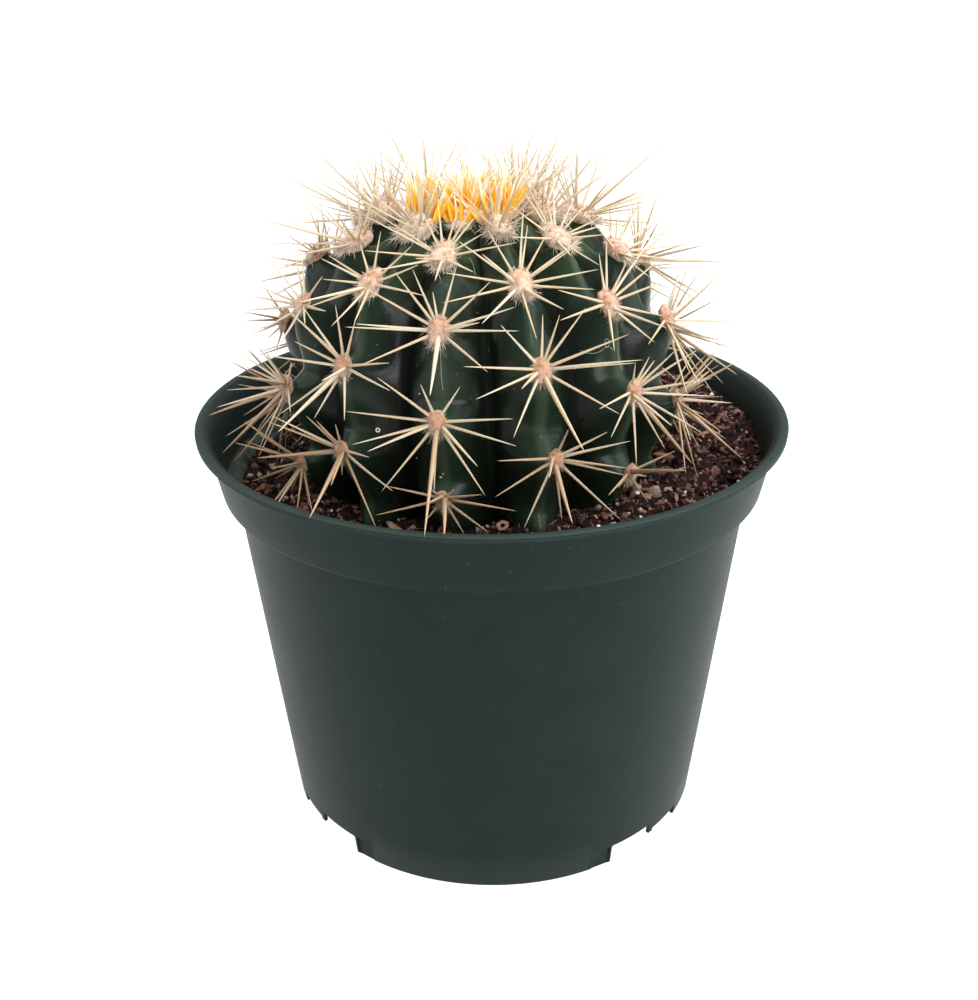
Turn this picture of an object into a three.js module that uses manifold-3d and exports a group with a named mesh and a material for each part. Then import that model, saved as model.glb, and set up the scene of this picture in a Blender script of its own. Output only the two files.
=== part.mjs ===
import * as THREE from 'three';
import { mergeVertices } from 'three/addons/utils/BufferGeometryUtils.js';
import Module from 'manifold-3d';

// A golden barrel cactus growing in a 6.5 inch azalea pot. Millimetres, +Z up, front towards -Y.
// The origin is the middle of the circle that the pot stands on.

// Pot: a thin moulded shell with a flat lip, a collar, a step and a raised floor in a notched foot
const potHeight = 119;
const potSides = 56;
const lipRadius = 82.5;
const lipInnerRadius = 80.2;
const lipThickness = 1.4;
const collarTopRadius = 79.6;
const collarFootRadius = 76.6;
const collarFootHeight = 101.9;
const stepRadius = 72.5;
const stepHeight = 98.4;
const stepWallRise = 0.4;
const baseRadius = 61.7;
const wallThickness = 1.15;
const floorUnderside = 7.6;
const floorThickness = 1.4;
const edgeRound = 0.4;
const lipFillet = 0.3;
const throatDrop = 1.4;

// Drain notches in the foot, in two mirrored pairs, and the holes through the floor beside them
const notchPairAngles = [-4, 176];
const notchSpread = 48;
const notchRadii = [54, 70];
const deepNotch = { from: -18, to: 2.2, height: 6.2 };
const shortTooth = { from: 2, to: 3.8, height: 2.6 };
const shallowNotch = { from: 3.6, to: 16, height: 3.6 };
const drainHoleRadius = 4.5;
const drainHoleOrbit = 52;

// Soil: fills the pot to a lumpy surface that falls a little to the left and is banked up against
// the wall at the back right
const fitGap = 0.35;
const soilLevel = 103.1;
const soilSlope = 0.043;
const soilHeap = 1.2;
const soilBank = { angle: 135, rise: 6.5, from: 48, to: 76 };
const soilRingsAcross = 4;
const holeGap = 0.5;
const buriedGap = 0.8;

// Cactus: a squarish globe of ribs, measured at the woolly pads along the rib crests
const plantCentre = { x: -3.1, y: -1.8 };
const plantLean = { x: -0.025, y: 0.105 };
const widestHeight = 129.8;
const plantRadius = 55.65;
const crownRise = 47;
const squareness = 2.34;
const undersideDrop = 60;
const ribCount = 13;
const firstRibAngle = -10.3;
const columnsPerRib = 6;
const capRingSpacing = 6;
const ringSpacing = 7.6;
const lastRingArc = 104;
const crestSink = 1.5;
const grooveDepthRatio = 0.165;
const grooveSharpness = 0.96;
const tubercleHeight = 1.3;
const tubercleLead = 0.15;
const smoothCapRadius = 13.5;
const fullRibRadius = 25;
const ribsFadeFrom = 0.69 * Math.PI;
const ribsGone = 0.84 * Math.PI;
const rootNeck = { radius: 11, height: 70 };
const rootEnd = { radius: 5, height: 52, tip: 47 };

// Areoles: the woolly pads, one every few centimetres along each crest, stepped from rib to rib
const areoleSpacing = 21.85;
const areoleStart = 0.506;
const areoleStep = 6 / 13;
const oldestArc = 108;
const youngestArc = 17.5;
const mostRows = 6;
const padSize = { across: 3.3, along: 3.9, high: 2.1 };

// Spines: clock angles run from the apex side, tilts rise from the skin
const radialClocks = [-126, -90, -54, 54, 90, 126];
const centralSpines = [
  { clock: 172, tilt: 44, length: 28.5, radius: 0.95 },
  { clock: 3, tilt: 52, length: 19, radius: 0.8 },
];
const radialSpine = { tilt: 24, length: 20.5, radius: 0.66 };
const spineJitter = { clock: 9, tilt: 6, length: 0.09 };
const spineClearance = 1.4;
const outerReach = 81.4;

// Crown: the tuft of wool and young golden spines over the growing point
const crownGap = 0.35;
const crownRadius = 13;
const crownHeight = 2.8;
const crownColumns = 26;
const crownReach = 17.6;
const youngScale = 0.76;
const youngSpines = 6;
const youngSpine = { length: 11.5, radius: 1.15, lean: 46, fan: 28 };

const toRadians = Math.PI / 180;

// A repeatable draw between 0 and 1 for each seed
function draw(seed) {
  const value = Math.sin(seed * 12.9898 + 78.233) * 43758.5453;
  return value - Math.floor(value);
}

// The same draw between -1 and 1
function swing(seed) {
  return 2 * draw(seed) - 1;
}

function lerp(from, to, share) {
  return from + (to - from) * share;
}

function clamp(value, low, high) {
  return Math.min(Math.max(value, low), high);
}

function smoothStep(from, to, value) {
  const share = clamp((value - from) / (to - from), 0, 1);
  return share * share * (3 - 2 * share);
}

// Joining and cutting closed shapes

const wasm = await Module();
wasm.setup();

function toSolid(geometry) {
  const bare = geometry.clone();
  bare.deleteAttribute('normal');
  bare.deleteAttribute('uv');
  const merged = mergeVertices(bare, 1e-4);
  const mesh = new wasm.Mesh({
    numProp: 3,
    vertProperties: new Float32Array(merged.attributes.position.array),
    triVerts: new Uint32Array(merged.index.array),
  });
  return new wasm.Manifold(mesh);
}

function toGeometry(solid) {
  const mesh = solid.getMesh();
  const geometry = new THREE.BufferGeometry();
  geometry.setAttribute('position', new THREE.BufferAttribute(mesh.vertProperties, 3));
  geometry.setIndex(new THREE.BufferAttribute(mesh.triVerts, 1));
  geometry.computeVertexNormals();
  return geometry;
}

// Keeps the body of a joined shape and drops any sealed pocket or loose scrap
function largestBody(solid) {
  let best = null;
  for (const piece of solid.decompose()) {
    if (best === null || piece.volume() > best.volume()) {
      best = piece;
    }
  }
  return best;
}

// A closed skin: a first pole, rings of points that run counterclockwise from above, a last pole.
// The rings go down the outside, so the faces point out. The slant picks the diagonal of each
// four-cornered face, so that a hole is split like the shape that stands in it.
function closedSkin(firstPole, rings, lastPole, slant = false) {
  const columns = rings[0].length;
  const points = [firstPole, ...rings.flat(), lastPole];
  const last = points.length - 1;
  const faces = [];
  const at = (ring, column) => 1 + ring * columns + (column % columns);
  for (let column = 0; column < columns; column += 1) {
    faces.push(0, at(0, column), at(0, column + 1));
    faces.push(last, at(rings.length - 1, column + 1), at(rings.length - 1, column));
  }
  for (let ring = 0; ring < rings.length - 1; ring += 1) {
    for (let column = 0; column < columns; column += 1) {
      const a = at(ring, column);
      const b = at(ring, column + 1);
      const c = at(ring + 1, column + 1);
      const d = at(ring + 1, column);
      if (slant) {
        faces.push(a, d, b, b, d, c);
      } else {
        faces.push(a, d, c, a, c, b);
      }
    }
  }
  const geometry = new THREE.BufferGeometry().setFromPoints(points);
  geometry.setIndex(faces);
  geometry.computeVertexNormals();
  return geometry;
}

// Pot

// The heights where the inside of the wall turns out over the step and up into the collar
const ledgeHeight = stepHeight + stepWallRise;
const collarHeight = collarFootHeight + stepWallRise;

function potOuterRadius(height) {
  return lerp(baseRadius, stepRadius, height / stepHeight);
}

// The inside of the wall: body, step and collar are straight between these heights
function potInnerRadius(height) {
  const ledgeRadius = stepRadius - wallThickness;
  if (height < ledgeHeight) {
    return lerp(baseRadius - wallThickness, ledgeRadius, height / ledgeHeight);
  }
  if (height < collarHeight) {
    const share = (height - ledgeHeight) / (collarHeight - ledgeHeight);
    return lerp(ledgeRadius, collarFootRadius - wallThickness, share);
  }
  const share = (height - collarHeight) / (potHeight - throatDrop - collarHeight);
  return lerp(collarFootRadius - wallThickness, collarTopRadius - wallThickness, share);
}

function potProfile() {
  const floorTop = floorUnderside + floorThickness;
  const lipUnderside = potHeight - lipThickness;
  const throatHeight = potHeight - throatDrop;
  return [
    [0, floorUnderside],
    [potOuterRadius(floorUnderside) - wallThickness, floorUnderside],
    [baseRadius - wallThickness, 0],
    [baseRadius, 0],
    [stepRadius, stepHeight],
    [collarFootRadius, collarFootHeight],
    [collarTopRadius, lipUnderside - lipFillet],
    [collarTopRadius + lipFillet, lipUnderside],
    [lipRadius - edgeRound, lipUnderside],
    [lipRadius, lipUnderside + edgeRound],
    [lipRadius, potHeight - edgeRound],
    [lipRadius - edgeRound, potHeight],
    [lipInnerRadius, potHeight],
    [lerp(lipInnerRadius, potInnerRadius(throatHeight), 0.6), potHeight - 0.5],
    [potInnerRadius(throatHeight), throatHeight],
    [potInnerRadius(collarHeight), collarHeight],
    [potInnerRadius(ledgeHeight), ledgeHeight],
    [potInnerRadius(floorTop), floorTop],
    [0, floorTop],
  ].map(([radius, height]) => new THREE.Vector2(radius, height));
}

// A block that spans part of a turn, from the ground up
function ringBlock(fromAngle, toAngle, height) {
  const [inner, outer] = notchRadii;
  const shape = new THREE.Shape();
  const from = fromAngle * toRadians;
  const to = toAngle * toRadians;
  shape.absarc(0, 0, outer, from, to, false);
  shape.absarc(0, 0, inner, to, from, true);
  const options = { depth: height + 1, bevelEnabled: false, curveSegments: 3 };
  const block = new THREE.ExtrudeGeometry(shape, options);
  return block.translate(0, 0, -1);
}

function drainHole(radius, x, y) {
  const hole = new THREE.CylinderGeometry(radius, radius, 3 * floorThickness, 12);
  return hole.rotateX(Math.PI / 2).translate(x, y, floorUnderside + floorThickness / 2);
}

function makePot() {
  const shell = new THREE.LatheGeometry(potProfile(), potSides).rotateX(Math.PI / 2);
  let pot = toSolid(shell).subtract(toSolid(drainHole(drainHoleRadius, 0, 0)));
  for (const pairAngle of notchPairAngles) {
    for (const hand of [-1, 1]) {
      const middle = -90 + pairAngle + hand * notchSpread;
      for (const cut of [deepNotch, shortTooth, shallowNotch]) {
        const ends = [middle + hand * cut.from, middle + hand * cut.to];
        pot = pot.subtract(toSolid(ringBlock(Math.min(...ends), Math.max(...ends), cut.height)));
      }
      const x = drainHoleOrbit * Math.cos(middle * toRadians);
      const y = drainHoleOrbit * Math.sin(middle * toRadians);
      pot = pot.subtract(toSolid(drainHole(drainHoleRadius, x, y)));
    }
  }
  return toGeometry(pot);
}

// Cactus skin

// A point of the meridian: turn 0 is the apex, a quarter turn is the widest ring
function meridian(turn) {
  if (turn <= Math.PI / 2) {
    return {
      radius: plantRadius * Math.sin(turn) ** (2 / squareness),
      height: widestHeight + crownRise * Math.max(Math.cos(turn), 0) ** (2 / squareness),
    };
  }
  return {
    radius: plantRadius * Math.sin(turn),
    height: widestHeight + undersideDrop * Math.cos(turn),
  };
}

// The length of the meridian from the apex, in small steps
const meridianSteps = 900;
const meridianEnd = 0.85 * Math.PI;
const meridianArcs = [0];
for (let step = 1; step <= meridianSteps; step += 1) {
  const before = meridian((meridianEnd * (step - 1)) / meridianSteps);
  const after = meridian((meridianEnd * step) / meridianSteps);
  const length = Math.hypot(after.radius - before.radius, after.height - before.height);
  meridianArcs.push(meridianArcs[step - 1] + length);
}

function turnAtArc(arc) {
  let step = 1;
  while (step < meridianSteps && meridianArcs[step] < arc) {
    step += 1;
  }
  const share = (arc - meridianArcs[step - 1]) / (meridianArcs[step] - meridianArcs[step - 1]);
  return (meridianEnd * (step - 1 + share)) / meridianSteps;
}

function arcAtTurn(turn) {
  const place = (turn / meridianEnd) * meridianSteps;
  const step = clamp(Math.floor(place), 0, meridianSteps - 1);
  return lerp(meridianArcs[step], meridianArcs[step + 1], place - step);
}

// The outward direction across the meridian
function meridianNormal(turn) {
  const step = 1e-4;
  const before = meridian(Math.max(turn - step, 1e-6));
  const after = meridian(turn + step);
  const normal = new THREE.Vector2(before.height - after.height, after.radius - before.radius);
  return normal.normalize();
}

// The plant leans a little to the back
function axisAt(height) {
  const rise = height - widestHeight;
  return { x: plantCentre.x + plantLean.x * rise, y: plantCentre.y + plantLean.y * rise };
}

// Places a radius and height round the plant's axis. Angles run from the front towards +X.
function around(angle, radius, height) {
  const axis = axisAt(height);
  return new THREE.Vector3(axis.x + radius * Math.sin(angle), axis.y - radius * Math.cos(angle), height);
}

function ribAngle(rib) {
  return (firstRibAngle + (rib * 360) / ribCount) * toRadians;
}

function firstArcOfRib(rib) {
  const share = areoleStart + rib * areoleStep;
  return areoleSpacing * (share - Math.floor(share));
}

// How far the skin falls from the crest, 0, to the groove, 1
function ribDrop(offset) {
  const lobe = 1 - Math.sqrt(1 - (grooveSharpness * offset) ** 2);
  const full = 1 - Math.sqrt(1 - grooveSharpness ** 2);
  return 0.25 * (lobe / full) + 0.75 * offset ** 1.15;
}

// A point of the skin. The offset runs from -1 to 1 across the rib, and 0 is its crest.
function skinPoint(turn, rib, offset, lift) {
  const { radius, height } = meridian(turn);
  const normal = meridianNormal(turn);
  const fade = 1 - smoothStep(ribsFadeFrom, ribsGone, turn);
  const strength = fade * smoothStep(smoothCapRadius, fullRibRadius, radius);
  const phase = (arcAtTurn(turn) - firstArcOfRib(rib)) / areoleSpacing - tubercleLead;
  const tubercle = tubercleHeight * Math.cos(2 * Math.PI * phase) * (1 - offset ** 2);
  const groove = grooveDepthRatio * radius * ribDrop(Math.abs(offset));
  const sink = crestSink + strength * (groove - tubercle) - lift;
  const angle = ribAngle(rib) + (offset * Math.PI) / ribCount;
  return around(angle, radius - sink * normal.x, height - sink * normal.y);
}

const columnOffsets = [0, 0.42, 0.78, 1, 1.22, 1.58];

// One ring of skin points, counterclockwise from above
function skinRing(turn, lift) {
  const ring = [];
  for (let rib = 0; rib < ribCount; rib += 1) {
    for (let column = 0; column < columnsPerRib; column += 1) {
      const offset = columnOffsets[column];
      if (offset <= 1) {
        ring.push(skinPoint(turn, rib, offset, lift));
      } else {
        ring.push(skinPoint(turn, rib + 1, offset - 2, lift));
      }
    }
  }
  return ring;
}

function plainRing(columns, radius, height) {
  const ring = [];
  for (let column = 0; column < columns; column += 1) {
    ring.push(around(ribAngle(0) + (2 * Math.PI * column) / columns, radius, height));
  }
  return ring;
}

const plantColumns = ribCount * columnsPerRib;
const visibleTurns = [];
for (let arc = capRingSpacing; arc < lastRingArc; arc += arc < 18 ? capRingSpacing : ringSpacing) {
  visibleTurns.push(turnAtArc(arc));
}
const buriedTurns = [ribsFadeFrom, 0.77 * Math.PI, ribsGone];

function apexPoint(lift) {
  return around(0, 0, widestHeight + crownRise - crestSink + lift);
}

function bodySkin() {
  const rings = visibleTurns.map((turn) => skinRing(turn, 0));
  rings.push(soilLine());
  rings.push(...buriedTurns.map((turn) => skinRing(turn, 0)));
  rings.push(plainRing(plantColumns, rootNeck.radius, rootNeck.height));
  rings.push(plainRing(plantColumns, rootEnd.radius, rootEnd.height));
  return closedSkin(apexPoint(0), rings, around(0, 0, rootEnd.tip));
}

// Soil

function soilHeight(x, y) {
  const slope = soilSlope * x;
  const long = 0.5 * Math.sin(0.115 * x + 0.8) * Math.cos(0.098 * y - 0.5);
  const short = 0.35 * Math.sin(0.29 * x - 0.21 * y + 1.1);
  const reach = Math.hypot(x, y);
  const heap = soilHeap * (1 - smoothStep(plantRadius - 4, plantRadius + 12, reach));
  const bankAngle = soilBank.angle * toRadians;
  const towards = Math.max(x * Math.sin(bankAngle) - y * Math.cos(bankAngle), 0);
  const facing = towards / Math.max(reach, 1);
  const bank = soilBank.rise * smoothStep(soilBank.from, soilBank.to, reach) * facing ** 3;
  return soilLevel + slope + long + short + heap + bank;
}

// The turn of the underside where it passes a height
function turnAtHeight(height) {
  return Math.acos((height - widestHeight) / undersideDrop);
}

// The ring where the skin meets the soil, found column by column
function soilLine() {
  const line = [];
  for (let column = 0; column < plantColumns; column += 1) {
    let height = soilLevel;
    let point = null;
    for (let pass = 0; pass < 4; pass += 1) {
      point = skinRing(turnAtHeight(height), 0)[column];
      height += soilHeight(point.x, point.y) - point.z;
    }
    line.push(point);
  }
  return line;
}

// Moves a point away from the plant's axis
function pushedOut(point, gap) {
  const axis = axisAt(point.z);
  const away = new THREE.Vector2(point.x - axis.x, point.y - axis.y).normalize();
  return new THREE.Vector3(point.x + gap * away.x, point.y + gap * away.y, point.z);
}

function wallPoint(angle, height) {
  const radius = potInnerRadius(height) - fitGap;
  return new THREE.Vector3(radius * Math.sin(angle), -radius * Math.cos(angle), height);
}

function soilSkin() {
  const floorTop = floorUnderside + floorThickness + fitGap;
  const holeEdge = soilLine().map((point) => pushedOut(point, holeGap));
  const angles = holeEdge.map((point) => Math.atan2(point.x, -point.y));
  const rims = angles.map((angle) => {
    const reach = potInnerRadius(soilLevel) - fitGap;
    return soilHeight(reach * Math.sin(angle), -reach * Math.cos(angle));
  });
  const outerEdge = angles.map((angle, column) => wallPoint(angle, rims[column]));
  const rings = [];
  const buried = buriedTurns.map((turn) => skinRing(turn, buriedGap));
  const neck = plainRing(plantColumns, rootNeck.radius + buriedGap, rootNeck.height - buriedGap);
  const rootTip = plainRing(plantColumns, rootEnd.radius + buriedGap, rootEnd.height - buriedGap);
  rings.push(rootTip, neck, ...buried.reverse(), holeEdge);
  for (let step = 1; step < soilRingsAcross; step += 1) {
    rings.push(holeEdge.map((point, column) => {
      const between = point.clone().lerp(outerEdge[column], step / soilRingsAcross);
      between.z = soilHeight(between.x, between.y);
      return between;
    }));
  }
  rings.push(outerEdge);
  const wallRing = (height, drop) => {
    rings.push(angles.map((angle, column) => wallPoint(angle, Math.min(height, rims[column] - drop))));
  };
  wallRing(collarHeight, 0.4);
  wallRing(ledgeHeight, 0.8);
  rings.push(angles.map((angle) => wallPoint(angle, floorTop)));
  const holeEnd = around(0, 0, rootEnd.tip - 1);
  return closedSkin(holeEnd, rings, new THREE.Vector3(0, 0, floorTop), true);
}

// Areoles and spines

// The frame of an areole: its place, the outward direction, the way up the rib and the way round
function areoleFrame(rib, arc) {
  const turn = turnAtArc(arc);
  const angle = ribAngle(rib);
  const across = meridianNormal(turn);
  const out = new THREE.Vector3(across.x * Math.sin(angle), -across.x * Math.cos(angle), across.y);
  const side = new THREE.Vector3(Math.cos(angle), Math.sin(angle), 0);
  const up = new THREE.Vector3().crossVectors(out, side);
  return { place: skinPoint(turn, rib, 0, 0.2), out, side, up };
}

// Every areole on the ribs, from the crown down to the soil
function areoles() {
  const list = [];
  for (let rib = 0; rib < ribCount; rib += 1) {
    for (let row = 0; row < mostRows; row += 1) {
      const arc = firstArcOfRib(rib) + row * areoleSpacing;
      if (arc > youngestArc && arc < oldestArc) {
        const frame = areoleFrame(rib, arc);
        if (frame.place.z > soilHeight(frame.place.x, frame.place.y) + padSize.along) {
          list.push({ ...frame, seed: 100 * rib + 1000 * row, arc });
        }
      }
    }
  }
  return list;
}

function spineDirection(frame, clockDegrees, tiltDegrees) {
  const clock = clockDegrees * toRadians;
  const tilt = tiltDegrees * toRadians;
  return new THREE.Vector3()
    .addScaledVector(frame.up, Math.cos(clock) * Math.cos(tilt))
    .addScaledVector(frame.side, Math.sin(clock) * Math.cos(tilt))
    .addScaledVector(frame.out, Math.sin(tilt));
}

// Bends a tip clear of the soil, the pot's wall and lip, and the crown's tuft
function clearedTip(tip) {
  const cleared = tip.clone();
  const throat = potHeight - throatDrop;
  const top = axisAt(widestHeight + crownRise);
  const fromTop = new THREE.Vector2(cleared.x - top.x, cleared.y - top.y);
  if (fromTop.length() < crownReach + spineClearance) {
    fromTop.setLength(crownReach + spineClearance);
    cleared.x = top.x + fromTop.x;
    cleared.y = top.y + fromTop.y;
  }
  cleared.z = Math.max(cleared.z, soilHeight(cleared.x, cleared.y) + spineClearance);
  const inside = cleared.z < potHeight + spineClearance;
  const reach = inside ? potInnerRadius(Math.min(cleared.z, throat)) - spineClearance : outerReach;
  const fromPot = new THREE.Vector2(cleared.x, cleared.y).clampLength(0, reach);
  cleared.x = fromPot.x;
  cleared.y = fromPot.y;
  return cleared;
}

// A straight three-sided needle from its root to its tip
function needle(root, tip, radius) {
  const along = tip.clone().sub(root);
  const length = along.length();
  const turn = new THREE.Quaternion().setFromUnitVectors(new THREE.Vector3(0, 1, 0), along.normalize());
  const shape = new THREE.ConeGeometry(radius, length, 3, 1);
  shape.translate(0, length / 2, 0);
  shape.applyQuaternion(turn);
  return shape.translate(root.x, root.y, root.z);
}

function woolPad(frame) {
  const pad = new THREE.IcosahedronGeometry(1, 0);
  const turn = new THREE.Matrix4().makeBasis(frame.side, frame.up, frame.out);
  pad.scale(padSize.across, padSize.along, padSize.high);
  pad.applyMatrix4(turn);
  return pad.translate(frame.place.x, frame.place.y, frame.place.z);
}

function areoleSpines(areole) {
  const spines = [];
  const addSpine = (spine, seed) => {
    const clock = spine.clock + spineJitter.clock * swing(seed);
    const tilt = spine.tilt + spineJitter.tilt * swing(seed + 1);
    const length = spine.length * (1 + spineJitter.length * swing(seed + 2));
    const direction = spineDirection(areole, clock, tilt);
    const tip = clearedTip(areole.place.clone().addScaledVector(direction, length));
    const root = areole.place.clone().addScaledVector(areole.out, -0.6);
    spines.push(needle(root, tip, spine.radius));
  };
  radialClocks.forEach((clock, index) => {
    const upward = Math.cos(clock * toRadians);
    const tilt = radialSpine.tilt + 8 * upward;
    const length = radialSpine.length - 2.5 * upward;
    addSpine({ clock, tilt, length, radius: radialSpine.radius }, areole.seed + 3 * index);
  });
  centralSpines.forEach((spine, index) => {
    addSpine(spine, areole.seed + 60 + 3 * index);
  });
  return spines;
}

function makeCactus() {
  let plant = toSolid(bodySkin());
  for (const areole of areoles()) {
    let cluster = toSolid(woolPad(areole));
    for (const spine of areoleSpines(areole)) {
      cluster = cluster.add(toSolid(spine));
    }
    plant = plant.add(cluster);
  }
  return toGeometry(largestBody(plant));
}

// Crown

function crownPoint(angle, radius, height) {
  const top = axisAt(widestHeight + crownRise);
  return new THREE.Vector3(top.x + radius * Math.sin(angle), top.y - radius * Math.cos(angle), height);
}

// The height of the plant's smooth cap under the crown
function capHeight(radius) {
  const turn = Math.asin((radius / plantRadius) ** (squareness / 2));
  return meridian(turn).height - crestSink * meridianNormal(turn).y;
}

function crownSkin() {
  const rings = [];
  const ring = (radius, height) => {
    const points = [];
    for (let column = 0; column < crownColumns; column += 1) {
      const angle = (2 * Math.PI * column) / crownColumns;
      const lump = 1 + 0.05 * Math.sin(5 * angle + height);
      points.push(crownPoint(angle, radius * lump, height));
    }
    rings.push(points);
  };
  const seat = capHeight(0) + crownGap;
  ring(0.5 * crownRadius, seat + 0.9 * crownHeight);
  ring(0.85 * crownRadius, seat + 0.55 * crownHeight);
  ring(crownRadius, seat + 0.08 * crownHeight);
  ring(0.94 * crownRadius, capHeight(0.94 * crownRadius) + 2 * crownGap);
  ring(0.5 * crownRadius, capHeight(0.5 * crownRadius) + 2 * crownGap);
  const topPole = crownPoint(0, 0, seat + crownHeight);
  return closedSkin(topPole, rings, crownPoint(0, 0, seat + crownGap));
}

// The youngest areoles are still packed together round the growing point
function makeCrown() {
  let crown = toSolid(crownSkin());
  for (let rib = 0; rib < ribCount; rib += 1) {
    const arc = firstArcOfRib(rib);
    if (arc > youngestArc) {
      continue;
    }
    const rootRadius = youngScale * arc;
    const root = crownPoint(ribAngle(rib), rootRadius, capHeight(rootRadius) + 0.5 * crownHeight);
    const outward = (youngSpine.lean * arc) / youngestArc;
    for (let index = 0; index < youngSpines; index += 1) {
      const seed = 7000 + 40 * rib + 3 * index;
      const clock = ((index + 0.5 * draw(seed)) * 2 * Math.PI) / youngSpines;
      const fan = youngSpine.fan * (0.35 + 0.65 * draw(seed + 1));
      const leanOut = (outward + fan * Math.cos(clock)) * toRadians;
      const leanSide = fan * Math.sin(clock) * toRadians;
      const length = youngSpine.length * (1 + 0.3 * swing(seed + 2));
      const tip = new THREE.Vector3(
        length * Math.sin(leanSide),
        -length * Math.sin(leanOut),
        length * Math.cos(leanOut) * Math.cos(leanSide),
      );
      tip.applyAxisAngle(new THREE.Vector3(0, 0, 1), ribAngle(rib)).add(root);
      const top = crownPoint(0, 0, tip.z);
      const reach = tip.clone().sub(top).clampLength(0, crownReach - 1);
      crown = crown.add(toSolid(needle(root, top.add(reach), youngSpine.radius)));
    }
  }
  return toGeometry(largestBody(crown));
}

function addPart(group, name, geometry, color, roughness) {
  const material = new THREE.MeshStandardMaterial({ color, roughness, metalness: 0, flatShading: true });
  const mesh = new THREE.Mesh(geometry, material);
  mesh.name = name;
  group.add(mesh);
}

const group = new THREE.Group();
addPart(group, 'pot', makePot(), 0x45574f, 0.55);
addPart(group, 'soil', soilSkin(), 0x35231f, 0.95);
addPart(group, 'cactus', makeCactus(), 0x2c4030, 0.5);
addPart(group, 'crown', makeCrown(), 0xe0ad4b, 0.85);

export default group;
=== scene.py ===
# A golden barrel cactus in its nursery pot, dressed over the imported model.
# Metres, +Z up, the front towards -Y. Shapes are worked out in millimetres and scaled at the end.
import math
import random

import bpy
import numpy as np
from mathutils import Matrix, Vector


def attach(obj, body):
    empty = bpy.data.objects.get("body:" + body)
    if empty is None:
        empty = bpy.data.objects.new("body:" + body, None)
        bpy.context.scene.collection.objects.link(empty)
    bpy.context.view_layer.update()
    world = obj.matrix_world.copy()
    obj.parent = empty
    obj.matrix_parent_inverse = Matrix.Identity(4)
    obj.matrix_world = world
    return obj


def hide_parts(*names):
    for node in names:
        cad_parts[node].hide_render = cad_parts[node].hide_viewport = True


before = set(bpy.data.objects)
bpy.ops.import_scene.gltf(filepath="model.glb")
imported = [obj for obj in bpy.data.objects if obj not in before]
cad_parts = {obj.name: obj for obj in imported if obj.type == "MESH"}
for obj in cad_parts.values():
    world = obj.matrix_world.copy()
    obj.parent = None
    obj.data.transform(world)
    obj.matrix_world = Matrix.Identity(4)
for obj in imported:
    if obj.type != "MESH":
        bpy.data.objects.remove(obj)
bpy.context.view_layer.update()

mm = 0.001
print("frame loaded")


# Camera: the place and angles that the pot's lip, collar and foot give in the photograph
cameraView = {
    "place": (0.0, -0.34481, 0.25114),
    "pitchDown": 25.044,
    "yaw": -0.149,
    "roll": -0.556,
    "lens": 46.8,
}


def makeCamera(view):
    pitch, yaw, roll = (math.radians(view[k]) for k in ("pitchDown", "yaw", "roll"))
    level = math.cos(pitch)
    forward = Vector((math.sin(yaw) * level, math.cos(yaw) * level, -math.sin(pitch)))
    right = forward.cross(Vector((0, 0, 1))).normalized()
    up = right.cross(forward)
    turnedRight = right * math.cos(roll) + up * math.sin(roll)
    turnedUp = up * math.cos(roll) - right * math.sin(roll)
    data = bpy.data.cameras.new("camera")
    data.lens = view["lens"]
    data.sensor_width = 36
    data.clip_start = 0.02
    data.clip_end = 40
    camera = bpy.data.objects.new("camera", data)
    bpy.context.collection.objects.link(camera)
    camera.matrix_world = Matrix((turnedRight, turnedUp, -forward)).transposed().to_4x4()
    camera.location = view["place"]
    bpy.context.scene.camera = camera
    return turnedRight, turnedUp, forward


cameraAxes = makeCamera(cameraView)
print("camera placed")


# The photograph's pixels: the middle of the picture, and how far off a pixel is one pixel wide
photoView = {"middle": (489, 500), "reach": 1300}


def throughPixel(spot):  # the direction from the camera through a pixel of the photograph
    right, up, forward = cameraAxes
    across = (spot[0] - photoView["middle"][0]) / photoView["reach"]
    down = (spot[1] - photoView["middle"][1]) / photoView["reach"]
    return (forward + right * across - up * down).normalized()


# Small helpers for modelling

def stopEditing():
    bpy.ops.object.mode_set(mode="OBJECT")


def startEditing(picked="SELECT"):
    bpy.ops.object.mode_set(mode="EDIT")
    bpy.ops.mesh.select_all(action=picked)


def selectNone():
    if bpy.context.object and bpy.context.object.mode != "OBJECT":
        stopEditing()
    bpy.ops.object.select_all(action="DESELECT")


def activate(piece):
    selectNone()
    piece.select_set(True)
    bpy.context.view_layer.objects.active = piece


def settle(piece):  # the object ends at the origin, with its place in its mesh
    activate(piece)
    bpy.ops.object.transform_apply(location=True, rotation=True, scale=True)


def pointsOf(mesh):
    points = np.empty(len(mesh.vertices) * 3)
    mesh.vertices.foreach_get("co", points)
    return points.reshape(-1, 3)


def setPoints(mesh, points):
    mesh.vertices.foreach_set("co", np.asarray(points, float).ravel())
    mesh.update()


def stamp(mesh, name, values):  # a number for each point, for the finishes to read
    layer = mesh.attributes.get(name) or mesh.attributes.new(name, "FLOAT", "POINT")
    spread = np.broadcast_to(np.asarray(values, float), len(mesh.vertices))
    layer.data.foreach_set("value", spread.copy())


def finishPiece(piece, name, material, replaced, smooth=True):
    selectNone()
    piece.name = name
    piece.data.name = name
    piece.data.materials.clear()
    piece.data.materials.append(material)
    piece.data.polygons.foreach_set("use_smooth", [smooth] * len(piece.data.polygons))
    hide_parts(*replaced)
    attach(piece, "root")


def joined(copies):
    selectNone()
    for copy in copies:
        copy.select_set(True)
    bpy.context.view_layer.objects.active = copies[0]
    bpy.ops.object.join()
    bpy.ops.object.transform_apply(location=True, rotation=True, scale=True)
    return bpy.context.object


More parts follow.
